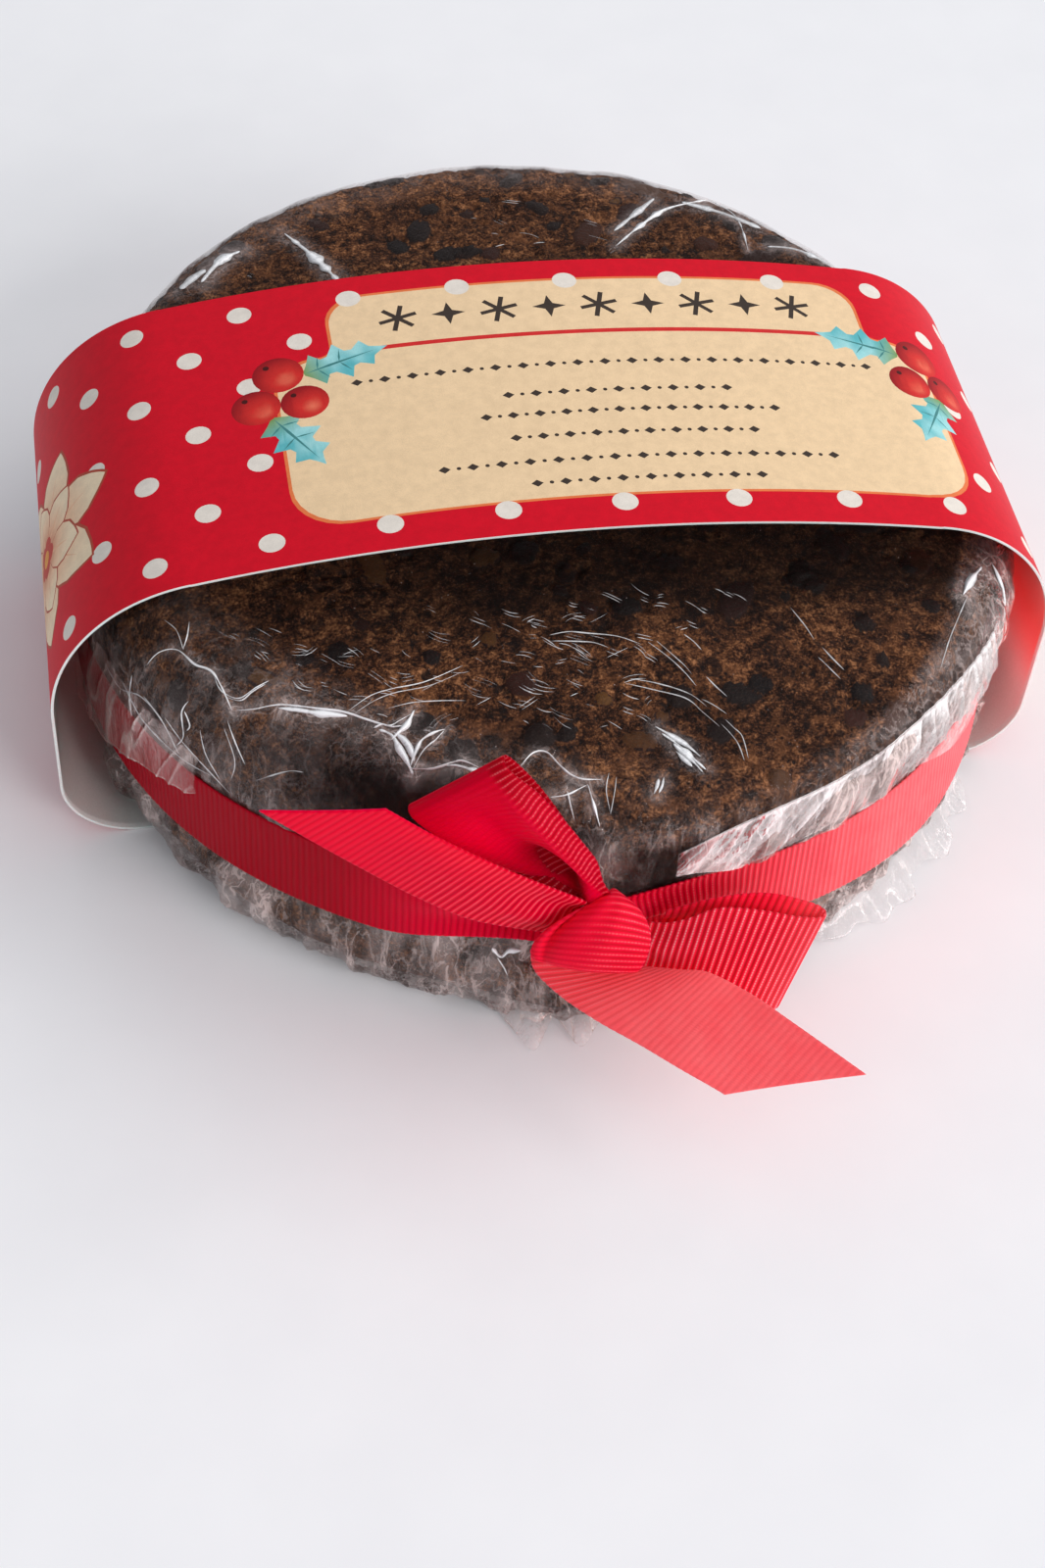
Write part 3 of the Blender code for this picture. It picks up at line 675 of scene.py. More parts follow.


# Creases of the film on the top and rim, drawn white as painted highlights: (path over x and y, width, height,
# brightness)
CREASES = [
    ([(-57.0, 46.2), (-54.5, 49.0), (-52.2, 51.0)], 2.6, 0.1, 0.50),
    ([(37.0, 62.5), (44.0, 58.5), (50.0, 53.6)], 2.4, 0.1, 0.55),
    ([(22.5, 54.5), (27.0, 59.0), (32.0, 64.0)], 1.3, 0.1, 0.45),
    ([(-68.8, -35.8), (-66.6, -35.6), (-63.9, -36.8), (-61.6, -40.1), (-58.9, -42.7), (-56.6, -49.2)], 0.42, 0.4, 0.95),
    ([(-56.6, -49.2), (-53.1, -50.3), (-49.5, -50.8), (-44.6, -52.5), (-40.1, -54.0), (-36.7, -56.0), (-33.7, -57.5),
      (-31.8, -56.8), (-29.6, -55.7)], 0.34, 0.4, 0.9),
    ([(-49.8, -51.2), (-47.0, -52.2), (-44.6, -53.2), (-42.4, -53.9), (-39.6, -54.8)], 1.5, 0.12, 0.9),
    ([(-35.2, -58.0), (-33.4, -59.4), (-32.5, -62.1), (-31.7, -64.0), (-31.0, -66.2)], 1.7, 0.2, 0.9),
    ([(-33.2, -58.8), (-31.9, -60.2), (-31.0, -62.2), (-30.6, -64.4)], 1.0, 0.3, 0.75),
    ([(-33.6, -60.2), (-32.2, -58.9), (-30.8, -57.6), (-29.4, -55.2)], 1.0, 0.4, 1.0),
    ([(-31.3, -65.0), (-30.3, -63.0), (-29.2, -61.2), (-27.5, -60.0), (-25.2, -59.5)], 0.7, 0.4, 1.0),
    ([(-36.0, -57.6), (-34.6, -57.2), (-33.0, -57.8), (-31.4, -57.8)], 0.7, 0.3, 0.85),
    ([(-31.0, -65.5), (-29.0, -62.9), (-27.0, -61.3), (-25.4, -59.7)], 0.35, 0.4, 0.9),
    ([(-31.4, -65.2), (-28.1, -66.0), (-25.0, -65.7), (-23.4, -65.7), (-21.1, -67.3)], 0.5, 0.4, 0.95),
    ([(-26.6, -65.9), (-24.6, -66.2), (-22.6, -67.2), (-20.6, -68.4)], 1.2, 0.1, 0.7),
    ([(-15.0, -67.9), (-12.7, -65.8), (-10.6, -66.1), (-9.0, -68.8), (-6.8, -71.3), (-3.3, -72.0)], 0.36, 0.4, 0.9),
    ([(-39.4, -53.8), (-35.7, -51.5), (-32.2, -50.7), (-27.0, -50.1), (-20.8, -47.9)], 0.20, 0.15, 0.55),
    ([(-38.4, -54.3), (-34.9, -52.4), (-31.7, -51.5), (-26.5, -51.0), (-21.3, -49.2)], 0.18, 0.15, 0.45),
    ([(-33.3, -54.3), (-29.6, -53.8), (-25.4, -54.1), (-21.4, -54.7)], 0.18, 0.15, 0.5),
    ([(-58.9, -42.7), (-58.0, -45.7), (-55.4, -47.9), (-52.7, -47.0), (-50.7, -46.2)], 0.26, 0.3, 0.8),
    ([(-57.5, -46.8), (-55.2, -48.3), (-53.4, -47.6), (-51.2, -46.7)], 0.2, 0.3, 0.6),
    ([(-63.1, -37.1), (-63.9, -33.4), (-65.7, -30.7)], 0.24, 0.3, 0.6),
    ([(-63.1, -37.1), (-62.3, -34.9), (-61.8, -32.3)], 0.22, 0.3, 0.6),
    ([(8.5, -47.3), (10.4, -49.6), (12.1, -51.9), (13.4, -54.1), (14.5, -56.4)], 0.24, 0.2, 0.6),
    ([(9.9, -47.2), (11.6, -49.7), (13.3, -52.2), (14.3, -54.2)], 0.2, 0.2, 0.5),
    ([(16.4, -54.7), (17.6, -56.9), (18.9, -58.8)], 0.26, 0.2, 0.65),
    ([(3.5, -54.8), (7.9, -56.6), (12.4, -58.6), (14.5, -61.4), (16.6, -64.3)], 0.22, 0.2, 0.55),
    ([(4.4, -54.0), (8.8, -55.5), (13.1, -57.8), (15.5, -60.6)], 0.18, 0.2, 0.42),
    ([(14.8, -58.9), (16.5, -60.3), (18.2, -62.1)], 0.24, 0.2, 0.55),
    ([(17.7, -63.0), (18.7, -64.7), (19.7, -66.5), (19.8, -70.6)], 0.24, 0.2, 0.7),
    ([(16.9, -63.8), (18.0, -65.8), (18.8, -67.9), (19.1, -70.9)], 0.2, 0.2, 0.55),
    ([(36.3, -50.0), (37.6, -52.7), (38.8, -54.8)], 0.24, 0.2, 0.6),
    ([(35.2, -52.0), (36.7, -54.7), (37.8, -56.6)], 0.2, 0.2, 0.5),
    ([(14.5, -46.2), (15.8, -47.9), (16.7, -49.5)], 0.3, 0.2, 0.6),
    ([(-6.6, -44.1), (-3.5, -43.9), (-0.2, -44.7), (4.0, -45.8), (7.4, -47.7)], 0.22, 0.2, 0.5),
    ([(-6.5, -45.3), (-2.4, -46.0), (0.1, -46.6), (2.2, -47.8)], 0.2, 0.2, 0.4),
    ([(33.0, -41.5), (34.5, -45.3), (35.4, -48.4)], 0.2, 0.2, 0.4),
    ([(63.2, -39.8), (60.9, -43.6), (57.8, -48.7), (55.0, -53.9)], 0.24, 0.25, 0.6),
    ([(67.4, -33.0), (64.9, -36.2), (62.6, -39.6)], 1.9, 0.3, 0.95),
    ([(69.2, -31.7), (69.9, -34.5), (70.6, -37.0)], 1.5, 0.3, 0.95),
    ([(70.6, -37.0), (71.6, -34.0), (72.4, -31.6)], 0.9, 0.3, 0.9),
    ([(6.6, -63.2), (8.8, -65.2), (10.8, -67.2), (12.6, -69.6)], 0.9, 0.06, 0.62),
    ([(7.4, -64.6), (9.2, -66.6), (11.0, -69.2), (12.9, -72.0)], 1.0, 0.06, 0.70),
    ([(8.8, -66.6), (10.0, -68.4), (11.4, -70.6), (12.3, -72.4)], 1.0, 0.06, 0.62),
    ([(8.9, -68.0), (9.9, -69.6), (10.9, -71.2)], 0.8, 0.06, 0.5),
    ([(4.1, -75.3), (4.8, -74.2), (5.4, -72.8)], 0.8, 0.06, 0.5),
    ([(4.9, -75.2), (5.7, -74.0), (6.2, -72.6)], 0.7, 0.06, 0.55),
    ([(-11.5, -73.5), (-8.8, -73.6), (-5.5, -72.6)], 0.34, 0.3, 0.8),
    ([(-5.5, -72.5), (-5.0, -75.9), (-4.4, -78.0)], 0.6, 0.3, 0.85),
    ([(-1.9, -70.8), (-2.9, -73.9), (-2.7, -77.0)], 0.3, 0.3, 0.7),
    ([(-0.9, -71.6), (-1.6, -74.0), (-2.7, -77.0)], 0.26, 0.3, 0.6),
    ([(-8.7, -73.1), (-8.5, -75.1), (-8.1, -76.9)], 0.5, 0.3, 0.75),
    ([(-53.3, 47.5), (-49.4, 53.2), (-45.7, 55.5)], 2.6, 0.2, 0.75),
    ([(-37.3, 59.8), (-33.1, 52.6), (-29.3, 44.4)], 2.4, 0.2, 0.75),
    ([(22.0, 50.0), (28.0, 56.0), (33.7, 60.6), (42.0, 63.0)], 1.3, 0.2, 0.7),
    ([(42.0, 63.5), (46.2, 57.0), (46.1, 47.0)], 0.5, 0.2, 0.6),
    ([(50.0, 48.0), (55.0, 47.0), (62.0, 42.0)], 1.8, 0.2, 0.6),
]


# Creases at the front left, where the film is drawn down to the ribbon, drawn white as painted highlights: (path,
# width, height, brightness)
WALL_CREASES = [
    ([(-70.7, -34.6, 38.4), (-71.4, -34.5, 32.4), (-71.0, -35.7, 26.8)], 0.28, 0.2, 0.55),
    ([(-69.3, -37.8, 36.9), (-66.6, -43.0, 36.0), (-64.6, -46.8, 32.4)], 0.25, 0.2, 0.47),
    ([(-62.5, -44.6, 42.3), (-63.7, -45.0, 40.2), (-63.7, -46.7, 36.6), (-65.0, -46.2, 33.8)], 0.28, 0.2, 0.66),
    ([(-63.3, -45.2, 40.8), (-62.6, -46.6, 39.0), (-63.2, -46.4, 37.4)], 0.5, 0.2, 0.62),
    ([(-57.0, -49.8, 43.1), (-56.2, -52.8, 41.4), (-55.0, -56.0, 39.4)], 0.25, 0.2, 0.47),
    ([(-57.6, -50.4, 41.9), (-56.4, -54.0, 38.4), (-57.2, -55.2, 35.2)], 0.22, 0.2, 0.39),
    ([(-74.8, -25.4, 31.7), (-72.8, -31.8, 32.6), (-69.9, -37.0, 36.1), (-68.0, -40.3, 36.5)], 0.25, 0.2, 0.43),
    ([(-72.4, -32.8, 35.6), (-69.6, -39.6, 33.0), (-64.6, -47.0, 32.2), (-60.0, -53.0, 33.8)], 0.22, 0.2, 0.39),
    ([(-66.4, -43.6, 38.0), (-64.0, -47.6, 36.4), (-60.8, -52.0, 34.8), (-57.6, -56.0, 33.0)], 0.22, 0.2, 0.35),
    ([(-61.2, -48.6, 40.0), (-60.6, -51.0, 36.8), (-58.8, -54.2, 34.2)], 0.22, 0.2, 0.43),
    ([(-53.7, -57.6, 37.3), (-48.9, -59.4, 41.0), (-46.5, -60.4, 41.6)], 0.25, 0.2, 0.39),
    ([(-19.6, -79.0, 17.4), (-18.2, -79.4, 15.4), (-17.0, -79.6, 17.0), (-15.1, -80.0, 17.3)], 1.6, 0.3, 1.00),
    ([(-18.7, -79.2, 15.0), (-17.5, -79.5, 12.3), (-16.9, -79.6, 10.3)], 0.31, 0.2, 0.62),
]


def make_creases(mat):
    rng = np.random.default_rng(19)
    points, faces, shine = [], [], []

    def crease(path, width, height, bright, lift=0.42):
        p, n = on_top(polyline(path, 0.35), lift)
        add(p, n, width, height, bright)

    def add(p, n, width, height, bright):
        count = len(p)
        waver = 0.7 + 0.6 * noise(np.stack([np.arange(count) * 0.22, 0 * n[:, 0] + 7.0 * len(points), 0 * n[:, 0]], axis=1), 63)
        q, f = blade(p, n, width * np.clip(waver, 0.35, 1.5), height)
        faces.append(f + sum(len(done) for done in points))
        points.append(q)
        fade = np.repeat(0.55 + 0.45 * np.clip(waver, 0.0, 1.0), 4)
        shine.append(bright * fade)

    for path, width, height, bright in CREASES:
        crease(path, width, height, bright)
    for path, width, height, bright in WALL_CREASES:
        p = polyline(path, 0.35)
        n = unit(np.stack([p[:, 0] / 80.0, p[:, 1] / 80.0, 0.45 + 0.0 * p[:, 0]], axis=-1))
        add(p + 1.0 * n, n, width, height, bright)

    # short wavy double streaks where the film clings to the top, drawn white as painted highlights
    for i in range(400):
        x, y = rng.uniform(-58.0, 50.0), rng.uniform(-68.0, -36.0)
        if i % 5 == 0:
            x, y = rng.uniform(-60.0, 60.0), rng.uniform(30.0, 72.0)
        if math.hypot(x, y) > 67.0 or noise(np.array([[x * 0.055, y * 0.055, 2.0]]), 61)[0] < -0.22:
            continue
        slope = math.radians(rng.normal(-32.0, 12.0) if rng.random() < 0.75 else rng.normal(20.0, 12.0))
        d = np.array((math.cos(slope), math.sin(slope)))
        across = np.array((-d[1], d[0]))
        size = rng.uniform(1.2, 4.2)
        curve = rng.uniform(-0.10, 0.10) * size
        path = [np.array((x, y)) + d * size * t + across * curve * (1.0 - 4.0 * t * t) for t in (-0.5, -0.2, 0.15, 0.5)]
        bright = rng.uniform(0.10, 0.46)
        crease(path, 0.17, 0.10, bright)
        if rng.random() < 0.6:
            gap = across * rng.uniform(0.5, 0.8)
            shift = d * rng.uniform(-0.6, 0.6)
            crease([q + gap + shift for q in path], 0.15, 0.10, bright * 0.75)
    points = np.concatenate(points)
    return make_object("film_creases", points, np.concatenate(faces), [mat], values={"layers_and_painted_highlight": np.concatenate(shine)})


def make_right_fold(mat):
    """The film pulled straight at the right front, from a sharp upper edge down to the ribbon. Its white is a painted
    reflection of the light from the right, brightest as a painted highlight along the upper edge and at the left end.
    """
    upper = np.array([(-84.2, 79.9, 36.6), (-83.2, 80.8, 38.6), (-78.8, 81.3, 42.0), (-73.4, 81.6, 44.2), (-66.2, 81.8, 45.2),
                      (-58.0, 81.2, 45.2), (-54.7, 80.6, 44.6), (-48.0, 80.4, 44.6), (-40.0, 80.6, 43.6), (-31.0, 80.8, 41.6)])
    at = polyline(upper, 0.25)
    rows, cols = len(at), 30
    v, theta = np.meshgrid(np.linspace(0.0, 1.0, cols), np.radians(at[:, 0]))
    bunched = smooth(math.radians(-58.0), math.radians(-50.0), theta)
    pleats = np.abs(noise(np.stack([theta * (34.0 + 0.0 * v) + 2.5 * v * (1.0 - bunched), 0.7 * v, 0.0 * v + 5.0], axis=-1), 71))
    fine = np.abs(noise(np.stack([theta * 80.0 + 6.0 * v, 1.5 * v, 0.0 * v + 9.0], axis=-1), 73))
    belly = np.sin(np.pi * np.clip(v + 0.05, 0.0, 1.0))
    stand = (0.35 + 1.1 * bunched) * (1.0 - pleats) ** 3 + (0.20 + 0.3 * bunched) * (1.0 - fine) ** 2
    over = smooth(math.radians(-52.0), math.radians(-42.0), theta)
    r = at[:, 1][:, None] * (1.0 - v) + (BAND_R + 0.35 + 1.3 * over) * v + stand * belly
    low_z = 31.0 - 4.5 * over + 1.2 * noise(np.stack([theta * 9.0, 0.0 * v, 0.0 * v], axis=-1), 75)
    z = at[:, 2][:, None] * (1.0 - v) + low_z * v
    outer = np.stack([r * np.cos(theta), r * np.sin(theta), z], axis=-1)
    inner = np.stack([(r - 0.12) * np.cos(theta), (r - 0.12) * np.sin(theta), z], axis=-1)
    size = rows * cols
    grid = quads(rows, cols)
    i, j = np.arange(rows - 1), np.arange(cols - 1)
    faces = [grid[:, ::-1], grid + size]
    for col, flip in ((0, 1), (cols - 1, -1)):
        faces.append(np.stack([i * cols + col, (i + 1) * cols + col, size + (i + 1) * cols + col, size + i * cols + col], axis=-1)[:, ::flip])
    for row, flip in ((0, -1), (rows - 1, 1)):
        faces.append(np.stack([row * cols + j, row * cols + j + 1, size + row * cols + j + 1, size + row * cols + j], axis=-1)[:, ::flip])
    ends = np.sin(np.pi * np.linspace(0.0, 1.0, rows)) ** 0.4
    # painted highlight along the upper edge and at the left end
    lit = smooth(0.10, 0.02, v) * 2.2 + 0.8 * smooth(math.radians(-76.0), math.radians(-82.0), theta)
    thin = 1.0 - 0.55 * smooth(math.radians(-62.0), math.radians(-55.0), theta) * smooth(0.10, 0.3, v)
    layers_and_painted_highlight = (1.0 - 0.30 * v + lit) * ends[:, None] * thin * (0.40 + 1.0 * (1.0 - pleats) ** 4 + 0.5 * (1.0 - fine) ** 4)
    layers_and_painted_highlight = np.concatenate([layers_and_painted_highlight.ravel(), layers_and_painted_highlight.ravel()])
    return make_object("film_fold", np.concatenate([outer.reshape(-1, 3), inner.reshape(-1, 3)]), np.concatenate(faces), [mat],
                       values={"layers_and_painted_highlight": layers_and_painted_highlight})


def thin_sheet(name, mat, points, layers_and_painted_highlight):
    """Closed thin sheet over a grid of points (rows, columns, 3)."""
    rows, cols = points.shape[:2]
    across = unit(np.cross(np.gradient(points, axis=1), np.gradient(points, axis=0)))
    both = np.concatenate([(points + 0.03 * across).reshape(-1, 3), (points - 0.03 * across).reshape(-1, 3)])
    size = rows * cols
    grid = quads(rows, cols)
    i, j = np.arange(rows - 1), np.arange(cols - 1)
    faces = [grid[:, ::-1], grid + size]
    for col, flip in ((0, 1), (cols - 1, -1)):
        faces.append(np.stack([i * cols + col, (i + 1) * cols + col, size + (i + 1) * cols + col, size + i * cols + col], axis=-1)[:, ::flip])
    for row, flip in ((0, -1), (rows - 1, 1)):
        faces.append(np.stack([row * cols + j, row * cols + j + 1, size + row * cols + j + 1, size + row * cols + j], axis=-1)[:, ::flip])
    return make_object(name, both, np.concatenate(faces), [mat],
                       values={"layers_and_painted_highlight": np.concatenate([layers_and_painted_highlight.ravel(), layers_and_painted_highlight.ravel()])})


def make_skirt(name, mat, start, end, reach, seed):
    """Film that sticks out over the table between two angles, in crumpled points."""
    v, theta = np.meshgrid(np.linspace(0.0, 1.0, 26), np.radians(np.linspace(start, end, int(abs(end - start) * 5))))
    t = (theta - theta.min()) / (theta.max() - theta.min())
    ragged = 0.62 + 0.38 * noise(np.stack([theta * 22.0, 0.0 * v, 0.0 * v], axis=-1), seed)
    out = reach * ragged * np.sin(np.pi * t) ** 0.5
    folds = noise(np.stack([theta * 30.0, 1.2 * v, 0.0 * v], axis=-1), seed + 2)
    r = 79.6 + 0.8 * (1.0 - v) + out * v
    z = 5.2 * (1.0 - v) ** 2 + 0.5 + 1.9 * np.abs(folds) * np.sin(np.pi * np.clip(v * 0.9 + 0.1, 0.0, 1.0))
    points = np.stack([r * np.cos(theta), r * np.sin(theta), z], axis=-1)
    sharp = smooth(0.14, 0.0, np.abs(folds)) * smooth(0.0, 0.3, v)
    # painted highlight: the sharp fold lines and the outer edge of the skirt are whitened
    layers_and_painted_highlight = 0.14 + 0.55 * sharp + 0.5 * smooth(0.90, 1.0, v) * smooth(0.1, 0.5, folds)
    return thin_sheet(name, mat, points, layers_and_painted_highlight)


def make_flap(name, mat, start, end, low, high, stand):
    """Film lying over the upper edge of the ribbon between two angles."""
    v, theta = np.meshgrid(np.linspace(0.0, 1.0, 30), np.radians(np.linspace(start, end, int(abs(end - start) * 4))))
    t = (theta - theta.min()) / (theta.max() - theta.min())
    folds = noise(np.stack([theta * 26.0 + 1.5 * v, 0.9 * v, 0.0 * v], axis=-1), 87)
    edge = low[0] + (low[1] - low[0]) * t + 1.6 * noise(np.stack([theta * 12.0, 0.0 * v, 0.0 * v], axis=-1), 89)
    z = high * (1.0 - v) + edge * v
    r = 79.9 + (BAND_R + stand - 79.9) * smooth(0.0, 0.4, v) + 0.5 * (1.0 - np.abs(folds)) ** 3
    points = np.stack([r * np.cos(theta), r * np.sin(theta), z], axis=-1)
    # painted highlight: the fold lines and the lower edge of the flap are whitened
    layers_and_painted_highlight = 0.16 + 0.35 * smooth(0.12, 0.0, np.abs(folds)) + 0.5 * smooth(0.97, 1.0, v)
    return thin_sheet(name, mat, points, layers_and_painted_highlight * np.sin(np.pi * np.clip(t, 0.02, 0.98)) ** 0.3)


# ---------------------------------------------------------------- paper sleeve

def sleeve_track():
    """(u, x, z, lean) along the outer face: u is the length from the crown, positive towards +X, and lean the angle
    of the outward direction from +Z."""
    lean = math.asin(SLEEVE_ARCH_HALF / SLEEVE_ARCH_R)
    end_z = SLEEVE_CROWN - SLEEVE_ARCH_R * (1.0 - math.cos(lean))
    shoulder = (SLEEVE_HALF_W - SLEEVE_SHOULDER_R, end_z - SLEEVE_SHOULDER_R * math.cos(lean))
    half = []
    for (cx, cz), r, a0, a1, n in (((0.0, SLEEVE_CROWN - SLEEVE_ARCH_R), SLEEVE_ARCH_R, 0.0, lean, 22),
                                   (shoulder, SLEEVE_SHOULDER_R, lean, math.pi / 2, 34),
                                   ((SLEEVE_HALF_W - SLEEVE_FOOT_R, SLEEVE_FOOT_R), SLEEVE_FOOT_R, math.pi / 2, math.pi, 22)):
        for a in np.linspace(a0, a1, n + 1):
            half.append((cx + r * math.sin(a), cz + r * math.cos(a), a))
    half += [(x, 0.0, math.pi) for x in (50.0, 30.0, 10.0, 0.0)]
    half = np.array(half)
    keep = np.r_[True, np.hypot(*np.diff(half[:, :2], axis=0).T) > 1e-3]
    half = half[keep]
    left = half[::-1][:-1] * (-1.0, 1.0, -1.0)
    track = np.r_[left, half]
    u = np.r_[0.0, np.cumsum(np.hypot(*np.diff(track[:, :2], axis=0).T))]
    return u - u[len(left)], track[:, 0] + SLEEVE_X, track[:, 1], track[:, 2]


def sleeve_point(track, u, y, depth=0.0):
    x, z, lean = (np.interp(u, track[0], t) for t in track[1:])
    y = 0.988 * y + 0.42
    return np.stack([x - depth * np.sin(lean), y, z - depth * np.cos(lean)], axis=-1)


DOT_STEP = 18.6
DOT_R = 2.12
DOT_U0 = -0.7                  # the dots' grid sits this far from the crown
DOT_ROWS = (25.9, 7.3, -11.3, -29.9)
PANEL_U = 13.4                 # middle of the cream panel
RED_INK = srgb(208, 6, 34)
CREAM = srgb(233, 203, 163)
DOT_INK = srgb(226, 218, 208)
LINE_INK = srgb(226, 120, 70)
RULE_INK = srgb(206, 44, 44)
DARK_INK = srgb(62, 52, 46)


def disc(u, y, r, sides=22, squash=1.0):
    t = np.linspace(0, 2 * np.pi, sides, endpoint=False)
    return np.stack([u + r * np.cos(t), y + r * squash * np.sin(t)], axis=1)


def rounded(u0, u1, y0, y1, r, steps=7):
    """Rectangle with round corners."""
    out = []
    for cu, cy, start in ((u1 - r, y1 - r, 0), (u0 + r, y1 - r, 90), (u0 + r, y0 + r, 180), (u1 - r, y0 + r, 270)):
        for t in np.radians(np.linspace(start, start + 90, steps + 1)):
            out.append((cu + r * math.cos(t), cy + r * math.sin(t)))
    return np.array(out)


def two_tier(grow):
    """Outline of the panel: a wide body in front and a narrower title tier behind it."""
    body, title = 56.2 + grow, 46.0 + grow
    front, step, back = -27.9 - grow, 11.2 + grow, 26.0 + grow
    out = []

    def corner(cu, cy, r, start, end):
        for t in np.radians(np.linspace(start, end, 8)):
            out.append((PANEL_U + cu + r * math.cos(t), cy + r * math.sin(t)))

    corner(body - 9.0, front + 9.0, 9.0, -90, 0)
    corner(body - 7.0, step - 7.0, 7.0, 0, 90)
    corner(title + 2.0, step + 2.0, 2.0, 270, 180)
    corner(title - 6.5, back - 6.5, 6.5, 0, 90)
    corner(-title + 6.5, back - 6.5, 6.5, 90, 180)
    corner(-title - 2.0, step + 2.0, 2.0, 0, -90)
    corner(-body + 7.0, step - 7.0, 7.0, 90, 180)
    corner(-body + 9.0, front + 9.0, 9.0, 180, 270)
    return np.array(out)


def holly_leaf(base, tip, width):
    """Leaf with three points to a side."""
    base, tip = np.array(base, float), np.array(tip, float)
    along = tip - base
    across = np.array((-along[1], along[0])) / np.hypot(*along) * width / 2.0
    side = [(0.0, 0.10), (0.07, 0.42), (0.16, 0.95), (0.25, 0.48), (0.33, 0.50), (0.46, 1.08), (0.54, 0.50),
            (0.62, 0.44), (0.75, 0.78), (0.81, 0.30), (0.90, 0.14)]
    left = [base + along * t + across * w for t, w in side]
    right = [base + along * t - across * w for t, w in side]
    return np.array(left + [tip] + right[::-1])


def sliver(a, b, width):
    """Thin pointed stroke from a to b."""
    a, b = np.array(a, float), np.array(b, float)
    d = b - a
    n = np.array((-d[1], d[0])) / np.hypot(*d) * width / 2.0
    return np.array([a, a + 0.35 * d - n, b, a + 0.35 * d + n])


def petal(base, tip, width):
    base, tip = np.array(base, float), np.array(tip, float)
    d = tip - base
    n = np.array((-d[1], d[0])) / np.hypot(*d) * width / 2.0
    side = [(0.12, 0.35), (0.30, 0.80), (0.50, 1.0), (0.70, 0.86), (0.86, 0.48), (0.95, 0.2)]
    left = [base + d * t + n * w for t, w in side]
    right = [base + d * t - n * w for t, w in side]
    return np.array([base] + left + [tip] + right[::-1])


def blend_ink(a, b, t):
    t = np.clip(t, 0.0, 1.0)[..., None]
    return np.array(a) * (1.0 - t) + np.array(b) * t


def sprig(shapes, flip, berries, leaves):
    """Holly: leaves from (base, tip), then berries; flip mirrors it about the panel's middle."""
    def place(p):
        return ((2.0 * PANEL_U - p[0]) if flip else p[0], p[1])

    teal, pale, olive = srgb(92, 178, 186), srgb(158, 214, 216), srgb(120, 150, 84)
    vein = srgb(66, 128, 128)
    for base, tip, width in leaves:
        base, tip = np.array(place(base)), np.array(place(tip))
        d = (tip - base) / np.hypot(*(tip - base)) ** 2
        n = np.array((-d[1], d[0]))

        def leaf_ink(q, base=base, d=d, n=n):
            t, w = (q - base) @ d, (q - base) @ n
            tone = blend_ink(teal, pale, 0.5 + 3.2 * w + 0.35 * np.sin(22.0 * t))
            return blend_ink(olive, tone, t * 3.2) if tone.ndim > 1 else tone

        outline = holly_leaf(base, tip, width)
        shapes.append((outline, leaf_ink))
        shapes.append((base + (outline - base) * 0.62 + (tip - base) * 0.12, leaf_ink))
        shapes.append((sliver(base, base + (tip - base) * 0.88, 0.55), vein))
        across = np.array((-(tip - base)[1], (tip - base)[0])) / np.hypot(*(tip - base)) * width / 2.0
        for t in (0.12, 0.38):
            for side in (-1.0, 1.0):
                root = base + (tip - base) * (t + 0.04)
                shapes.append((sliver(root, root + (tip - base) * 0.08 + across * side * 0.72, 0.35), vein))
    for centre, r in berries:
        c = np.array(place(centre))

        def berry_ink(q, c=c, r=r):
            far = np.hypot(*(q - c - (0.28 * r, -0.30 * r)).T) / r
            tone = blend_ink(srgb(232, 120, 92), srgb(205, 44, 40), far / 0.45)
            return blend_ink(tone, srgb(140, 16, 26), (far - 0.55) / 0.75)

        for share in (1.0, 0.8, 0.58, 0.34):
            middle = c + (np.array((0.28, -0.30)) * r * (1.0 - share) * 1.0)
            shapes.append((disc(middle[0], middle[1], r * share, 26), berry_ink))
        shapes.append((disc(c[0] - 0.42 * r, c[1] + 0.5 * r, 0.13 * r, 8), srgb(70, 20, 20)))


def blossom(shapes, u, y, size):
    """Generic many-petalled flower with a berry centre."""
    cream, blush, rust = srgb(240, 219, 187), srgb(228, 176, 140), srgb(176, 72, 52)
    for ring, count, length, width, spin in ((0, 7, 1.0, 0.52, 0.2), (1, 6, 0.66, 0.40, 0.65)):
        for i in range(count):
            a = spin + 2.0 * math.pi * i / count
            tip = np.array((u + size * length * math.cos(a), y + size * length * math.sin(a)))
            base = np.array((u, y)) + (tip - (u, y)) * 0.10

            def petal_ink(q, u=u, y=y, reach=size * length):
                far = np.hypot(q[..., 0] - u, q[..., 1] - y) / reach
                return blend_ink(blend_ink(rust, blush, far / 0.45), cream, (far - 0.35) / 0.45)

            shapes.append((petal(base, tip, size * width * 1.10), rust))
            shapes.append((petal(base, base + (tip - base) * 0.965, size * width), petal_ink))
            shapes.append((petal(base, base + (tip - base) * 0.60, size * width * 0.55), petal_ink))
            shapes.append((sliver(base, base + (tip - base) * 0.72, 0.6), blush))
    for i in range(5):
        a = 1.0 + 2.0 * math.pi * i / 5
        shapes.append((disc(u + 0.11 * size * math.cos(a), y + 0.11 * size * math.sin(a), 0.09 * size, 14), srgb(190, 60, 44)))
    shapes.append((disc(u, y, 0.08 * size, 14), srgb(222, 150, 60)))


def star(u, y, r, points, inner, spin=0.0):
    t = spin + np.pi * np.arange(2 * points) / points
    size = np.where(np.arange(2 * points) % 2 == 0, r, r * inner)
    return np.stack([u + size * np.cos(t), y + size * np.sin(t)], axis=1)


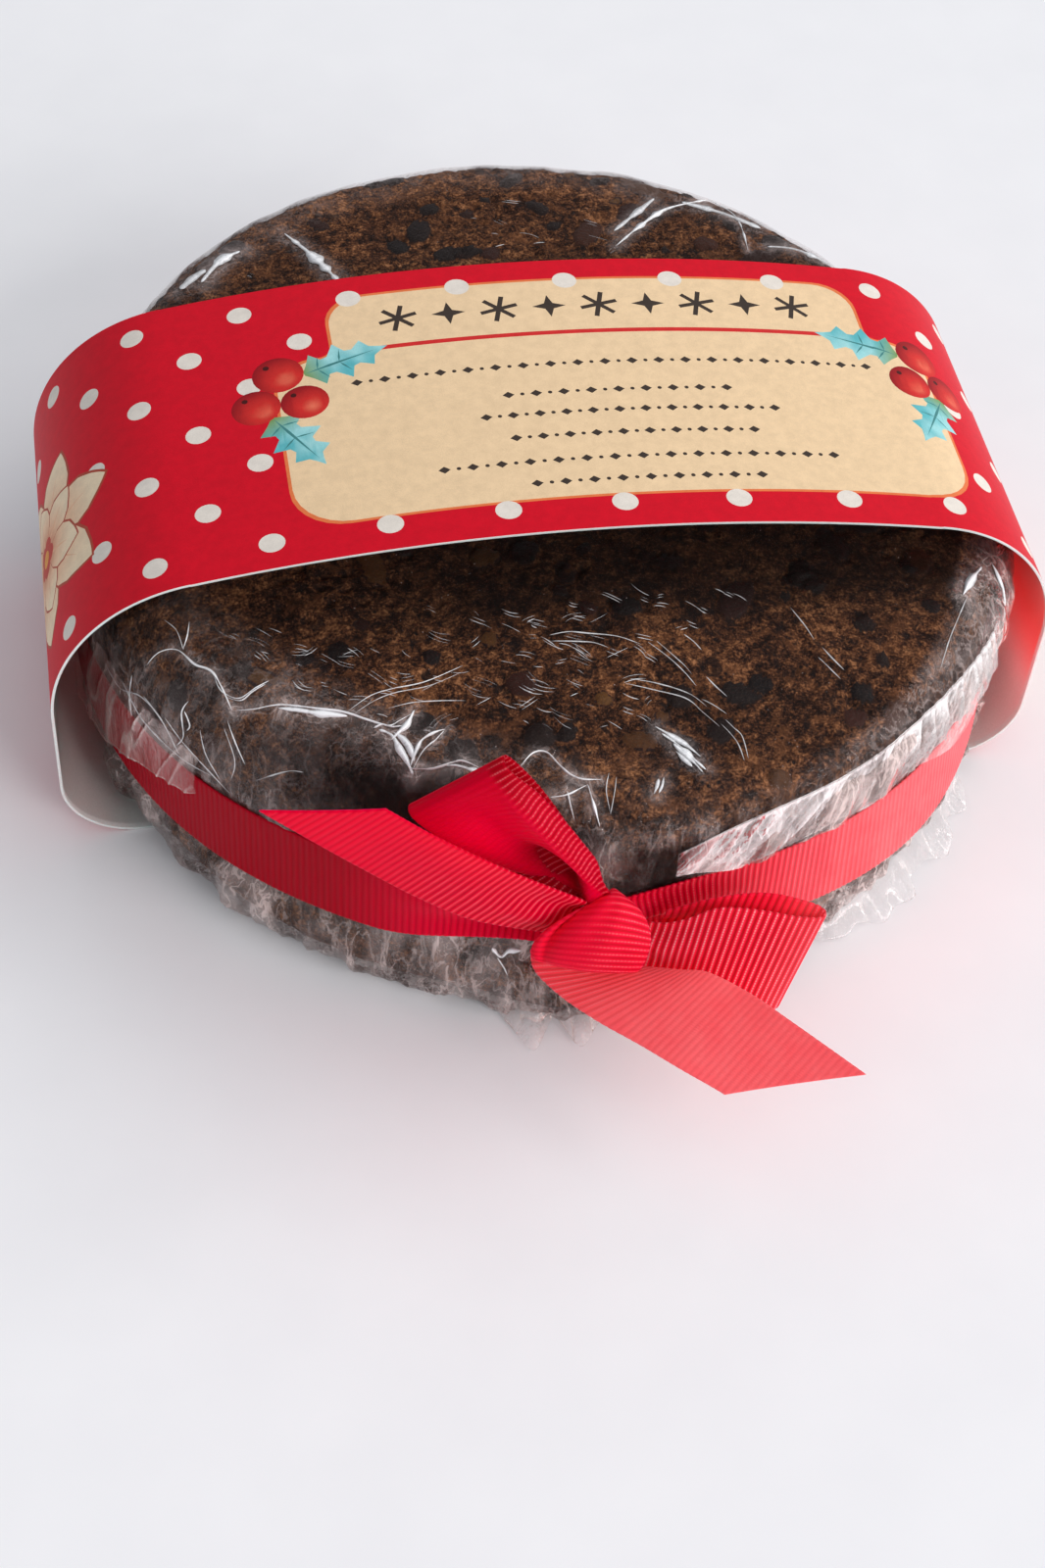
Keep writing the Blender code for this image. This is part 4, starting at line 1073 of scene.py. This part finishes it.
def print_shapes(length):
    """(outline, ink) for each printed shape, the later ones on top. ink is a colour or a function of (u, y)."""
    shapes = []
    front, back = SLEEVE_FRONT - 2.0, SLEEVE_BACK + 2.0
    panel = two_tier(0.0)
    inside = (PANEL_U - 56.0, PANEL_U + 56.0)

    def dot(u, y):
        if abs(u) < length / 2.0 - 2.6 and front < y < back:
            shapes.append((disc(u, y, DOT_R, 22, 0.97), DOT_INK))

    hidden, straddling = [], []
    for col in range(-12, 22):
        for row, y in enumerate(DOT_ROWS):
            u = (col - 4.5) * DOT_STEP + DOT_U0
            (straddling if row in (0, 3) else hidden).append((u, y))
            hidden.append((u + DOT_STEP / 2.0, y - DOT_STEP / 2.0))
    for u, y in hidden:
        dot(u, y)
    for at in (-92.0, 118.0):
        blossom(shapes, at, -7.0, 20.0)
    shapes.append((two_tier(0.55), LINE_INK))
    shapes.append((panel, CREAM))
    shapes.append((rounded(PANEL_U - 38.5, PANEL_U + 38.5, 11.7, 12.7, 0.45, 3), RULE_INK))
    for u, y in straddling:
        dot(u, y)

    for i in range(9):
        u, y = PANEL_U + (i - 4) * 8.6, 19.2
        if i % 2 == 0:
            for k in range(3):
                a = k * math.pi / 3.0 + 0.26
                arm = np.array((math.cos(a), math.sin(a))) * 3.3
                n = np.array((-arm[1], arm[0])) / 3.3 * 0.42
                shapes.append((np.array([(u, y) - arm - n, (u, y) + arm - n, (u, y) + arm + n, (u, y) - arm + n]), DARK_INK))
        else:
            shapes.append((star(u, y, 2.9, 4, 0.36, math.pi / 2), DARK_INK))
    for y, half, step, middle in ((4.2, 45.5, 2.3, 0.6), (-2.9, 20.5, 2.3, -0.7), (-7.9, 26.2, 2.2, 0.7),
                                  (-13.4, 21.4, 2.2, 0.3), (-19.3, 32.4, 2.3, 0.2), (-24.4, 20.6, 2.3, 0.5)):
        count = int(2 * half / step) // 2 * 2
        for i in range(count + 1):
            u = PANEL_U + middle + (i - count / 2) * step
            if i % 2 == 0:
                shapes.append((np.array([(u - 1.0, y), (u, y - 0.80), (u + 1.0, y), (u, y + 0.80)]), DARK_INK))
            else:
                shapes.append((disc(u, y, 0.38, 8), DARK_INK))

    berries = [((-42.3, 9.0), 4.3), ((-46.6, 1.8), 4.1), ((-38.6, 1.4), 4.0)]
    leaves = [((-38.0, 8.2), (-23.6, 12.6), 8.6), ((-44.2, -1.4), (-36.8, -14.2), 8.8)]
    sprig(shapes, False, berries, leaves)
    sprig(shapes, True, berries, leaves)
    return shapes


def make_sleeve(printed, bare):
    track = sleeve_track()
    stations = track[0]
    length = stations[-1] - stations[0]
    shapes = print_shapes(length)
    points, faces, edges = [], [], []

    def add_face(outline):
        first = len(points)
        points.extend(Vector(p) for p in outline)
        faces.append(list(range(first, len(points))))

    add_face([(stations[0], SLEEVE_FRONT), (stations[-1], SLEEVE_FRONT), (stations[-1], SLEEVE_BACK), (stations[0], SLEEVE_BACK)])
    for outline, ink in shapes:
        area = 0.5 * np.sum(outline[:, 0] * np.roll(outline[:, 1], -1) - np.roll(outline[:, 0], -1) * outline[:, 1])
        add_face(outline if area > 0 else outline[::-1])
    for u in stations[1:-1]:
        first = len(points)
        points.extend([Vector((u, SLEEVE_FRONT)), Vector((u, SLEEVE_BACK))])
        edges.append((first, first + 1))
    cut, _, tris, _, _, sources = delaunay_2d_cdt(points, edges, faces, 1, 1e-4)
    flat = np.array([(p[0], p[1]) for p in cut])
    chosen, layer = [], []
    for tri, source in zip(tris, sources):
        if 0 in source:
            chosen.append(tri)
            layer.append(max(source))
    tris = np.array(chosen)
    used, tris = np.unique(tris.ravel(), return_inverse=True)
    tris, flat = tris.reshape(-1, 3), flat[used]
    layer = np.array(layer)

    ink = np.empty((len(tris), 3, 4))
    for k in np.unique(layer):
        of = layer == k
        if k == 0:
            ink[of] = RED_INK
        else:
            colour = shapes[k - 1][1]
            q = flat[tris[of]]
            ink[of] = colour(q.reshape(-1, 2)).reshape(-1, 3, 4) if callable(colour) else colour

    outer = sleeve_point(track, flat[:, 0], flat[:, 1])
    points, face_list, face_mats = [outer], [tris], [np.zeros(len(tris), int)]
    rims = []
    for y in (SLEEVE_FRONT, SLEEVE_BACK):
        at = np.flatnonzero(np.abs(flat[:, 1] - y) < 1e-3)
        rims.append(at[np.argsort(flat[at, 0])])
    count = len(outer)
    inner_rims = []
    for rim, y in zip(rims, (SLEEVE_FRONT, SLEEVE_BACK)):
        points.append(sleeve_point(track, flat[rim, 0], np.full(len(rim), y), PAPER))
        inner_rims.append(count + np.arange(len(rim)))
        count += len(rim)
    for rim, inner, flip in ((rims[0], inner_rims[0], 1), (rims[1], inner_rims[1], -1)):
        strip = np.stack([rim[:-1], inner[:-1], inner[1:], rim[1:]], axis=-1)[:, ::flip]
        face_list.append(strip)
        face_mats.append(np.ones(len(strip), int))
    # the bare inside: both rims share no points along u, so a fan joins them
    a, b = inner_rims
    ua, ub = flat[rims[0], 0], flat[rims[1], 0]
    i = j = 0
    inside = []
    while i < len(a) - 1 or j < len(b) - 1:
        if j == len(b) - 1 or (i < len(a) - 1 and ua[i + 1] <= ub[j + 1]):
            inside.append((a[i], b[j], a[i + 1]))
            i += 1
        else:
            inside.append((a[i], b[j], b[j + 1]))
            j += 1
    inside = np.array(inside)
    face_list.append(inside)
    face_mats.append(np.ones(len(inside), int))
    points = np.concatenate(points)

    obj = make_object("paper_sleeve", points, face_list, [printed, bare], node="sleeve",
                      face_mats=np.concatenate(face_mats))
    mesh = obj.data
    colours = np.ones((len(mesh.loops), 4), np.float32)
    colours[:len(tris) * 3] = ink.reshape(-1, 4)
    mesh.attributes.new("ink", "FLOAT_COLOR", "CORNER").data.foreach_set("color", colours.ravel())
    lean = np.interp(np.r_[flat[:, 0], flat[rims[0], 0], flat[rims[1], 0]], track[0], track[3])
    side = np.where(np.arange(len(points)) < len(outer), 1.0, -1.0)
    normals = np.stack([side * np.sin(lean), 0 * lean, side * np.cos(lean)], axis=-1)
    corner = np.empty(len(mesh.loops), np.int32)
    mesh.loops.foreach_get("vertex_index", corner)
    loop_normals = normals[corner]
    start = len(tris) * 3
    strips = sum(f.size for f in face_list[1:3])
    half = face_list[1].size
    loop_normals[start:start + half] = (0.0, -1.0, 0.0)
    loop_normals[start + half:start + strips] = (0.0, 1.0, 0.0)
    mesh.normals_split_custom_set([tuple(n) for n in loop_normals])
    return obj


# ---------------------------------------------------------------- ribbon

def spline(points, t):
    """Catmull-Rom curve through the points, at t from 0 to len(points) - 1."""
    points = np.asarray(points, float)
    if points.ndim == 1:
        points = points[:, None]
    last = len(points) - 1
    i = np.minimum(t.astype(int), last - 1)
    u = (t - i)[:, None]
    a, b, c, d = (points[np.clip(i + k, 0, last)] for k in (-1, 0, 1, 2))
    return 0.5 * (2 * b + (c - a) * u + (2 * a - 5 * b + 4 * c - d) * u ** 2 + (3 * b - a - 3 * c + d) * u ** 3)


def unit(v):
    return v / np.linalg.norm(v, axis=-1, keepdims=True)


def rib_height(length):
    """1 on the back of a rib, 0 in the groove between two."""
    x = (length / RIB_PITCH + 0.5) % 1.0 - 0.5
    return np.sqrt(np.clip(1.0 - (2.0 * x) ** 2, 0.0, 1.0))


ACROSS = np.r_[-1.0, -0.985, -0.95, np.linspace(-0.88, 0.88, 15), 0.95, 0.985, 1.0]
THICK = np.interp(np.abs(ACROSS), (0.0, 0.93, 0.965, 0.985, 1.0), (1.0, 1.0, 1.12, 0.9, 0.25))


def ribbon_mesh(name, mat, node, length, centre, way, width, close=False, cut=0.0, folds=2.0, phase=0.0, depth=0.5,
                look=None, bend=None):
    """Strip of grosgrain. length, centre, way and width are given row by row. cut is how much shorter the upper
    selvedge is than the lower one, or the other way if it is negative. Where the strip is narrower than the ribbon it
    lies in folds: how many, where they start and how deep they are; bend adds a hollow of its own. look gives the
    material's three values. Both take the place across (-1 to 1) and the length along the ribbon, look also x."""
    v = ACROSS[None, :]
    rib = rib_height(length)[:, None]
    shown = np.repeat(length[:, None], len(ACROSS), axis=1)
    if cut:
        end = length[-1] - abs(cut) * (0.5 + 0.5 * v * math.copysign(1.0, cut))
        shown = np.minimum(shown, end)
    tangent = np.gradient(centre, axis=0)
    if close:
        tangent = np.roll(centre, -1, axis=0) - np.roll(centre, 1, axis=0)
    tangent = unit(tangent)
    out = unit(np.cross(tangent, way))

    def sample(values):
        columns = [np.stack([np.interp(shown[:, j], length, values[:, k]) for k in range(values.shape[1])], axis=-1)
                   for j in range(len(ACROSS))]
        return np.stack(columns, axis=1)

    c, w, n = (sample(x) for x in (centre, way, out)) if cut else (np.repeat(x[:, None], len(ACROSS), axis=1)
                                                                   for x in (centre, way, out))
    half = 0.5 * (np.interp(shown, length, width) if cut else np.repeat(width[:, None], len(ACROSS), axis=1))
    squeeze = np.clip(1.0 - 2.0 * half / RIBBON_W, 0.0, 1.0)
    wave = depth * squeeze * RIBBON_W / (2.0 * folds) * np.sin(np.pi * folds * v + phase) * (1.0 - 0.3 * v ** 2)
    across = np.repeat(v, len(shown), axis=0)
    if bend:
        wave = wave + bend(across, shown)
    values = dict(zip(("lit", "ribbed", "pale"), (np.asarray(value) + 0.0 * shown for value in look(c[..., 0], across, shown))))
    rib = rib_height(shown) * (0.25 + 0.75 * values["ribbed"])
    middle = c + w * (half * v + 0.10 * rib * np.sign(v) * (np.abs(v) > 0.97))[..., None] + n * wave[..., None]
    thick = (0.15 + 0.11 * rib) * THICK[None, :]
    rows, cols = shown.shape
    points = np.concatenate([(middle + n * thick[..., None]).reshape(-1, 3), (middle - n * thick[..., None]).reshape(-1, 3)])
    size = rows * cols
    top = quads(rows, cols, wrap_rows=close)
    faces = [top[:, ::-1], top + size]
    i = np.arange(rows if close else rows - 1)
    i2 = (i + 1) % rows
    for j, flip in ((0, 1), (cols - 1, -1)):
        faces.append(np.stack([i * cols + j, i2 * cols + j, size + i2 * cols + j, size + i * cols + j], axis=-1)[:, ::flip])
    if not close:
        j = np.arange(cols - 1)
        for i, flip in ((0, -1), (rows - 1, 1)):
            faces.append(np.stack([i * cols + j, i * cols + j + 1, size + i * cols + j + 1, size + i * cols + j], axis=-1)[:, ::-flip])
    uv = np.stack([shown, (half * v)], axis=-1).reshape(-1, 2)
    values = {key: np.concatenate([value.ravel(), value.ravel()]) for key, value in values.items()}
    return make_object(name, points, np.concatenate(faces), [mat], node=node, uv=np.concatenate([uv, uv]),
                       values=values, weld=0.004 if cut else False)


def guided(name, mat, node, guide, start=0.0, **more):
    """Ribbon along a guide of (centre, direction of the width, width), from the knot outwards."""
    t = np.linspace(0.0, len(guide) - 1.0, 900)
    centre = spline([g[0] for g in guide], t)
    way = spline([g[1] for g in guide], t)
    width = spline([g[2] for g in guide], t)[:, 0]
    run = np.r_[0.0, np.cumsum(np.linalg.norm(np.diff(centre, axis=0), axis=1))]
    length = np.arange(0.0, run[-1], RIB_PITCH / RIB_STEPS)
    pick = [np.stack([np.interp(length, run, x[:, k]) for k in range(3)], axis=1) for x in (centre, unit(way))]
    return ribbon_mesh(name, mat, node, length + start, pick[0], unit(pick[1]), np.interp(length, run, width), **more)


LEFT_TAIL = [
    ((-9.6, -84.4, 30.2), (0.50, -0.06, 0.84), 10.0),
    ((-12.6, -84.6, 32.0), (0.49, -0.10, 0.85), 11.6),
    ((-20.8, -83.9, 36.0), (0.50, -0.18, 0.84), 14.8),
    ((-28.3, -82.6, 40.6), (0.50, -0.25, 0.83), RIBBON_W),
    ((-35.0, -81.5, 45.6), (0.50, -0.27, 0.82), RIBBON_W),
    ((-41.8, -80.2, 51.0), (0.53, -0.28, 0.80), RIBBON_W),
    ((-50.5, -78.4, 58.0), (0.58, -0.30, 0.75), RIBBON_W),
]
RIGHT_TAIL = [
    ((-7.6, -85.6, 22.9), (0.97, -0.22, 0.12), 14.6),
    ((-7.0, -87.6, 21.1), (0.96, -0.18, 0.20), 15.0),
    ((-3.7, -90.9, 21.3), (0.90, -0.06, 0.38), 15.8),
    ((0.1, -94.3, 22.1), (0.82, 0.06, 0.52), RIBBON_W),
    ((4.6, -98.2, 23.2), (0.71, 0.22, 0.67), RIBBON_W),
    ((9.6, -103.5, 24.0), (0.67, 0.27, 0.69), RIBBON_W),
    ((15.3, -109.8, 24.4), (0.57, 0.20, 0.80), RIBBON_W),
    ((24.4, -120.2, 24.6), (0.50, 0.12, 0.86), RIBBON_W),
]
LEFT_LOOP = [
    ((-4.6, -84.4, 32.4), (0.61, -0.45, 0.62), 5.0),
    ((-7.3, -83.8, 35.4), (0.61, -0.45, 0.62), 7.0),
    ((-10.5, -83.2, 39.0), (0.62, -0.42, 0.65), 11.0),
    ((-15.4, -82.4, 43.8), (0.67, -0.30, 0.67), 15.0),
    ((-21.3, -81.0, 50.0), (0.77, -0.12, 0.62), RIBBON_W),
    ((-25.6, -79.4, 54.6), (0.84, 0.02, 0.54), RIBBON_W),
    ((-26.6, -77.6, 55.4), (0.85, 0.04, 0.52), RIBBON_W),
    ((-25.4, -76.0, 54.2), (0.84, 0.02, 0.54), RIBBON_W),
    ((-20.4, -76.6, 48.0), (0.76, -0.06, 0.64), RIBBON_W),
    ((-14.8, -79.3, 42.4), (0.70, -0.14, 0.68), 14.0),
    ((-9.3, -81.6, 37.0), (0.64, -0.20, 0.70), 10.0),
    ((-6.9, -82.0, 35.2), (0.62, -0.20, 0.70), 6.0),
    ((-4.6, -82.8, 32.6), (0.61, -0.20, 0.70), 5.0),
]
RIGHT_LOOP = [
    ((0.2, -87.0, 25.6), (0.22, 0.26, 0.93), 8.0),
    ((3.2, -88.7, 25.6), (0.24, 0.30, 0.92), 9.0),
    ((6.3, -90.2, 26.0), (0.26, 0.36, 0.90), 11.6),
    ((10.6, -91.6, 26.9), (0.30, 0.44, 0.85), 15.6),
    ((15.8, -92.8, 26.6), (0.38, 0.50, 0.78), RIBBON_W),
    ((21.2, -93.6, 25.4), (0.44, 0.50, 0.74), RIBBON_W),
    ((25.2, -93.4, 24.4), (0.47, 0.48, 0.74), RIBBON_W),
    ((26.2, -91.8, 24.2), (0.48, 0.46, 0.75), RIBBON_W),
    ((24.0, -90.2, 24.6), (0.46, 0.44, 0.77), RIBBON_W),
    ((18.0, -88.6, 25.8), (0.38, 0.38, 0.84), RIBBON_W),
    ((11.4, -86.8, 26.6), (0.30, 0.26, 0.92), 12.6),
    ((5.2, -85.0, 26.2), (0.24, 0.20, 0.95), 7.0),
]


def loop_strip(v, run):
    """Where the left loop shows its ribbed face: beyond the rolled edge, and all round the back."""
    return np.maximum(smooth(0.62, 0.70, v), smooth(34.0, 37.0, run))


def hollow(v, run):
    """The front of the left loop: hollow, with its upper edge rolled towards the viewer."""
    on = smooth(2.0, 9.0, run) * smooth(33.0, 24.0, run)
    deep = 1.6 + 2.6 * smooth(20.0, 9.0, run)
    return on * (deep * np.exp(-((v + 0.15) / 0.42) ** 2) - 0.9 * np.exp(-((v - 0.64) / 0.15) ** 2) + 1.7 * smooth(0.70, 1.0, v))


def make_band(mat):
    """The ribbon round the cake, drawn out straight to the knot on both sides of it."""
    theta = np.linspace(0.0, 2.0 * np.pi, 3000, endpoint=False) + KNOT_ANGLE
    away = np.abs(turn_from(theta, KNOT_ANGLE))
    reach = math.acos(BAND_R / KNOT_R)
    r = np.where(away < reach, BAND_R / np.cos(reach - np.minimum(away, reach)), BAND_R)
    z = KNOT_Z + (BAND_Z - KNOT_Z) * smooth(0.05, 0.42, away)
    z = z + 1.3 * lobe(theta, -121.0, 0.34) + 0.9 * lobe(theta, -72.0, 0.20) - 0.6 * lobe(theta, -44.0, 0.20)
    centre = np.stack([r * np.cos(theta), r * np.sin(theta), z], axis=1)
    run = np.r_[0.0, np.cumsum(np.linalg.norm(np.diff(np.r_[centre, centre[:1]], axis=0), axis=1))]
    ribs = int(run[-1] / RIB_PITCH)
    length = np.arange(ribs * RIB_STEPS) * (RIB_PITCH / RIB_STEPS)
    at = length * run[-1] / (ribs * RIB_PITCH)
    wide_theta = np.r_[theta, theta[0] + 2.0 * np.pi]
    th = np.interp(at, run, wide_theta)
    away = np.abs(turn_from(th, KNOT_ANGLE))
    centre = np.stack([np.interp(at, run, np.r_[centre[:, k], centre[0, k]]) for k in range(3)], axis=1)
    free = smooth(0.05, 0.42, away)
    width = 8.6 + (RIBBON_W - 8.6) * free
    stand = 2.0 * lobe(th, -48.0, 0.36)
    way = np.stack([-stand / RIBBON_W * np.cos(th), -stand / RIBBON_W * np.sin(th), np.ones_like(th)], axis=1)
    centre = centre + (stand * 0.5)[:, None] * np.stack([np.cos(th), np.sin(th), 0 * th], axis=1)
    centre = centre + 0.28 * np.stack([np.cos(th), np.sin(th), 0 * th], axis=1)
    # painted light and shade: the band's ribs shine and its grooves darken more towards the right, and it is painted
    # lighter on the right and darker on the left
    return ribbon_mesh("band", mat, "ribbon_band", length, centre, unit(way), width, close=True, folds=1.5, phase=0.6,
                       look=lambda x, v, run: (0.03 + 0.45 * smooth(-4.0, 20.0, x), 0.25 + 0.5 * smooth(-40.0, 0.0, x),
                                               0.85 * smooth(12.0, 52.0, x) - 0.80 * smooth(-24.0, -46.0, x)))


# The knot's wrap in the camera's directions: right, up, outwards. Ten places round it: from the top, down the front,
# under, and up behind; at its left selvedge, its middle and its right selvedge.
KNOT_LEFT = [(2.8, 6.0, 0.3), (-0.6, 4.5, 2.6), (-3.6, 3.0, 3.3), (-6.2, 1.4, 3.1), (-8.3, -0.5, 2.2), (-9.1, -2.4, 0.8),
             (-8.6, -3.8, -0.6), (-6.0, -3.0, -2.8), (-2.0, 0.0, -3.5), (1.2, 4.0, -2.0)]
KNOT_MIDDLE = [(3.2, 6.8, 0.6), (3.0, 6.0, 3.6), (2.6, 4.4, 5.0), (1.6, 2.2, 5.6), (0.6, -0.4, 5.4), (-0.4, -3.0, 4.2),
               (-1.2, -5.2, 1.8), (-0.5, -4.8, -1.6), (2.0, -0.5, -3.8), (3.2, 4.4, -2.6)]
KNOT_RIGHT = [(3.6, 6.7, 0.0), (6.0, 5.0, 1.5), (8.0, 2.9, 2.2), (8.9, 0.6, 2.4), (9.0, -1.4, 2.2), (8.4, -3.6, 1.4),
              (7.2, -5.6, 0.0), (6.0, -4.6, -2.4), (6.4, -0.5, -3.5), (5.2, 4.2, -2.6)]


def ring_spline(points, t):
    points = np.asarray(points, float)
    count = len(points)
    i = np.floor(t).astype(int)
    u = (t - i)[:, None]
    a, b, c, d = (points[(i + k) % count] for k in (-1, 0, 1, 2))
    return 0.5 * (2 * b + (c - a) * u + (2 * a - 5 * b + 4 * c - d) * u ** 2 + (3 * b - a - 3 * c + d) * u ** 3)


def make_knot(mat):
    ribs, cols = 30, 48
    fine = np.linspace(0.0, 10.0, 800, endpoint=False)
    middle = ring_spline(KNOT_MIDDLE, fine)
    run = np.r_[0.0, np.cumsum(np.linalg.norm(np.diff(np.r_[middle, middle[:1]], axis=0), axis=1))]
    rows = ribs * RIB_STEPS
    at = np.interp(np.arange(rows) / rows * run[-1], run, np.r_[fine, 10.0])
    left, mid, right = (ring_spline(p, at)[:, None] for p in (KNOT_LEFT, KNOT_MIDDLE, KNOT_RIGHT))
    b = np.linspace(0.0, 1.0, cols)[None, :, None]
    shape = left * 2 * (b - 0.5) * (b - 1) + mid * 4 * b * (1 - b) + right * 2 * b * (b - 0.5)
    front = np.clip(np.sin(np.pi * np.clip(at / 6.0, 0.0, 1.0)), 0.0, 1.0)[:, None]
    bb = b[..., 0]
    gather = 0.30 * np.sin(9.0 * bb + 1.6 + 0.5 * at[:, None]) + 0.22 * np.sin(17.0 * bb + 0.8 * at[:, None])
    groove = -1.2 * np.exp(-((bb - 0.125) / 0.045) ** 2) + 0.55 * np.exp(-((bb - 0.045) / 0.035) ** 2)
    shape[..., 2] += (gather * np.sin(np.pi * bb) + groove) * (0.35 + 0.65 * front)
    du = np.roll(shape, -1, axis=0) - np.roll(shape, 1, axis=0)
    dv = np.gradient(shape, axis=1)
    n = unit(np.cross(dv, du))
    if (n[..., 2] * front).sum() < 0:
        n = -n
    length = np.arange(rows) * RIB_PITCH / RIB_STEPS
    rib = 0.6 * rib_height(length)[:, None]
    edge = np.interp(bb, (0.0, 0.02, 0.05, 0.95, 0.98, 1.0), (0.3, 1.0, 1.0, 1.0, 1.0, 0.3))
    thick = (0.15 + 0.11 * rib) * edge
    frame3 = np.stack([CAM_RIGHT, CAM_UP, -CAM_FORWARD])
    outer, inner = (KNOT_C + (shape + n * side * thick[..., None]) @ frame3 for side in (1.0, -1.0))
    size = rows * cols
    top = quads(rows, cols, wrap_rows=True)
    i = np.arange(rows)
    i2 = (i + 1) % rows
    faces = [top, top[:, ::-1] + size]
    for j, flip in ((0, -1), (cols - 1, 1)):
        faces.append(np.stack([i * cols + j, i2 * cols + j, size + i2 * cols + j, size + i * cols + j], axis=-1)[:, ::flip])
    uv = np.stack([np.repeat(length[:, None], cols, axis=1), np.repeat(bb * 13.0, rows, axis=0)], axis=-1).reshape(-1, 2)
    points = np.concatenate([outer.reshape(-1, 3), inner.reshape(-1, 3)])
    # painted light: the right part of the knot's ribs shines more and its grooves are darker
    side = np.tile(smooth(0.35, 0.8, bb + 0 * at[:, None]).ravel(), 2)
    return make_object("knot", points, np.concatenate(faces), [mat], node="bow_knot", uv=np.concatenate([uv, uv]),
                       values={"lit": 0.04 + 0.40 * side, "ribbed": 0.30 + 0.35 * side, "pale": 0.03 + 0.0 * side})


# ---------------------------------------------------------------- floor, lights, camera

def stage():
    size = 4.0
    mesh = bpy.data.meshes.new("floor")
    mesh.from_pydata([(-size, -size, -2e-5), (size, -size, -2e-5), (size, size, -2e-5), (-size, size, -2e-5)], [], [(0, 1, 2, 3)])
    mesh.materials.append(floor_material())
    floor = bpy.data.objects.new("floor", mesh)
    bpy.context.scene.collection.objects.link(floor)

    world = bpy.data.worlds.new("studio")
    world.use_nodes = True
    world.node_tree.nodes["Background"].inputs[0].default_value = (0.93, 0.95, 1.0, 1.0)
    world.node_tree.nodes["Background"].inputs[1].default_value = WORLD_LIGHT
    bpy.context.scene.world = world

    for name, at, size, power, colour in LIGHTS:
        data = bpy.data.lights.new(name, "AREA")
        data.shape = "RECTANGLE"
        data.size, data.size_y = size
        data.energy = power
        data.color = colour
        lamp = bpy.data.objects.new(name, data)
        lamp.location = at
        lamp.rotation_mode = "QUATERNION"
        lamp.rotation_quaternion = (Vector((0.0, 0.0, 0.02)) - Vector(at)).to_track_quat("-Z", "Y")
        bpy.context.scene.collection.objects.link(lamp)

    cam = bpy.data.cameras.new("camera")
    cam.sensor_width = CAM_SENSOR
    cam.lens = CAM_LENS
    cam.clip_start, cam.clip_end = 0.01, 20.0
    view = bpy.data.objects.new("camera", cam)
    turn = Matrix((CAM_RIGHT, CAM_UP, -CAM_FORWARD)).transposed().to_4x4()
    view.matrix_world = Matrix.Translation(CAM_AT * MM) @ turn
    bpy.context.scene.collection.objects.link(view)
    bpy.context.scene.camera = view
    bpy.context.scene.view_settings.view_transform = "Standard"


WORLD_LIGHT = 0.53
LIGHTS = [
    # name, place, size, power, colour
    ("window", (4.9, 1.26, 4.1), (4.7, 4.2), 184.0, (1.0, 0.985, 0.97)),
    ("front", (3.1, -3.8, 2.25), (3.6, 2.8), 204.0, (1.0, 0.98, 0.97)),
]

crumb_mat = cake_material()
film_mat = film_material("clear_film", 0.40, 1.2, (0.94, 0.76, 0.72))
fold_mat = film_material("folded_film", 0.46, 0.45, (0.97, 0.92, 0.91))
crease_mat = crease_highlight_material()
make_cake(crumb_mat)
make_film(film_mat)
make_creases(crease_mat)
make_right_fold(fold_mat)
make_skirt("film_skirt_front", film_mat, -103.0, -86.0, 12.0, 91)
make_skirt("film_skirt_right", fold_mat, -64.0, -28.0, 8.0, 95)
make_flap("film_flap", film_mat, -177.0, -141.0, (5.0, 27.0), 35.5, 1.15)
make_sleeve(paper_material(), white_paper_material())
grosgrain = ribbon_material("grosgrain")
make_band(grosgrain)
make_knot(grosgrain)
# painted light and shade in the looks: the left loop is painted darker near the knot, on its rolled edge and back and
# along its far half; the right loop's ribs shine most near the knot and it is lighter to the right; the left tail
# shines more to the right; the right tail shines near the knot and is painted lighter, with a painted glow, towards its
# end
guided("loop_left", grosgrain, "bow_loop_left", LEFT_LOOP, folds=1.0, phase=-1.57, depth=0.25, bend=hollow,
       look=lambda x, v, run: (0.35 * loop_strip(v, run), 0.10 + 0.70 * loop_strip(v, run),
                               -0.35 * loop_strip(v, run) - 0.45 * smooth(22.0, 32.0, run)
                               - 1.0 * smooth(20.0, 11.0, run) * np.exp(-((v + 0.20) / 0.50) ** 2)))
guided("loop_right", grosgrain, "bow_loop_right", RIGHT_LOOP, folds=1.5, phase=0.8, depth=0.35,
       look=lambda x, v, run: (0.95 * smooth(32.0, 26.0, run) + 0.1, 1.0, 0.04 + 0.25 * smooth(18.0, 27.0, x)))
guided("tail_left", grosgrain, "ribbon_tail_left", LEFT_TAIL, cut=11.3, folds=1.5, depth=0.3,
       look=lambda x, v, run: (0.02 + 0.50 * smooth(-42.0, -12.0, x), 0.24 + 0.44 * smooth(-42.0, -14.0, x), 0.0))
guided("tail_right", grosgrain, "ribbon_tail_right", RIGHT_TAIL, cut=-13.8, folds=1.5, depth=0.3,
       look=lambda x, v, run: (0.06 + 0.55 * smooth(18.0, 5.0, run), 0.12 + 0.7 * smooth(24.0, 8.0, run),
                               0.30 + 0.65 * smooth(0.0, 24.0, run)))
stage()
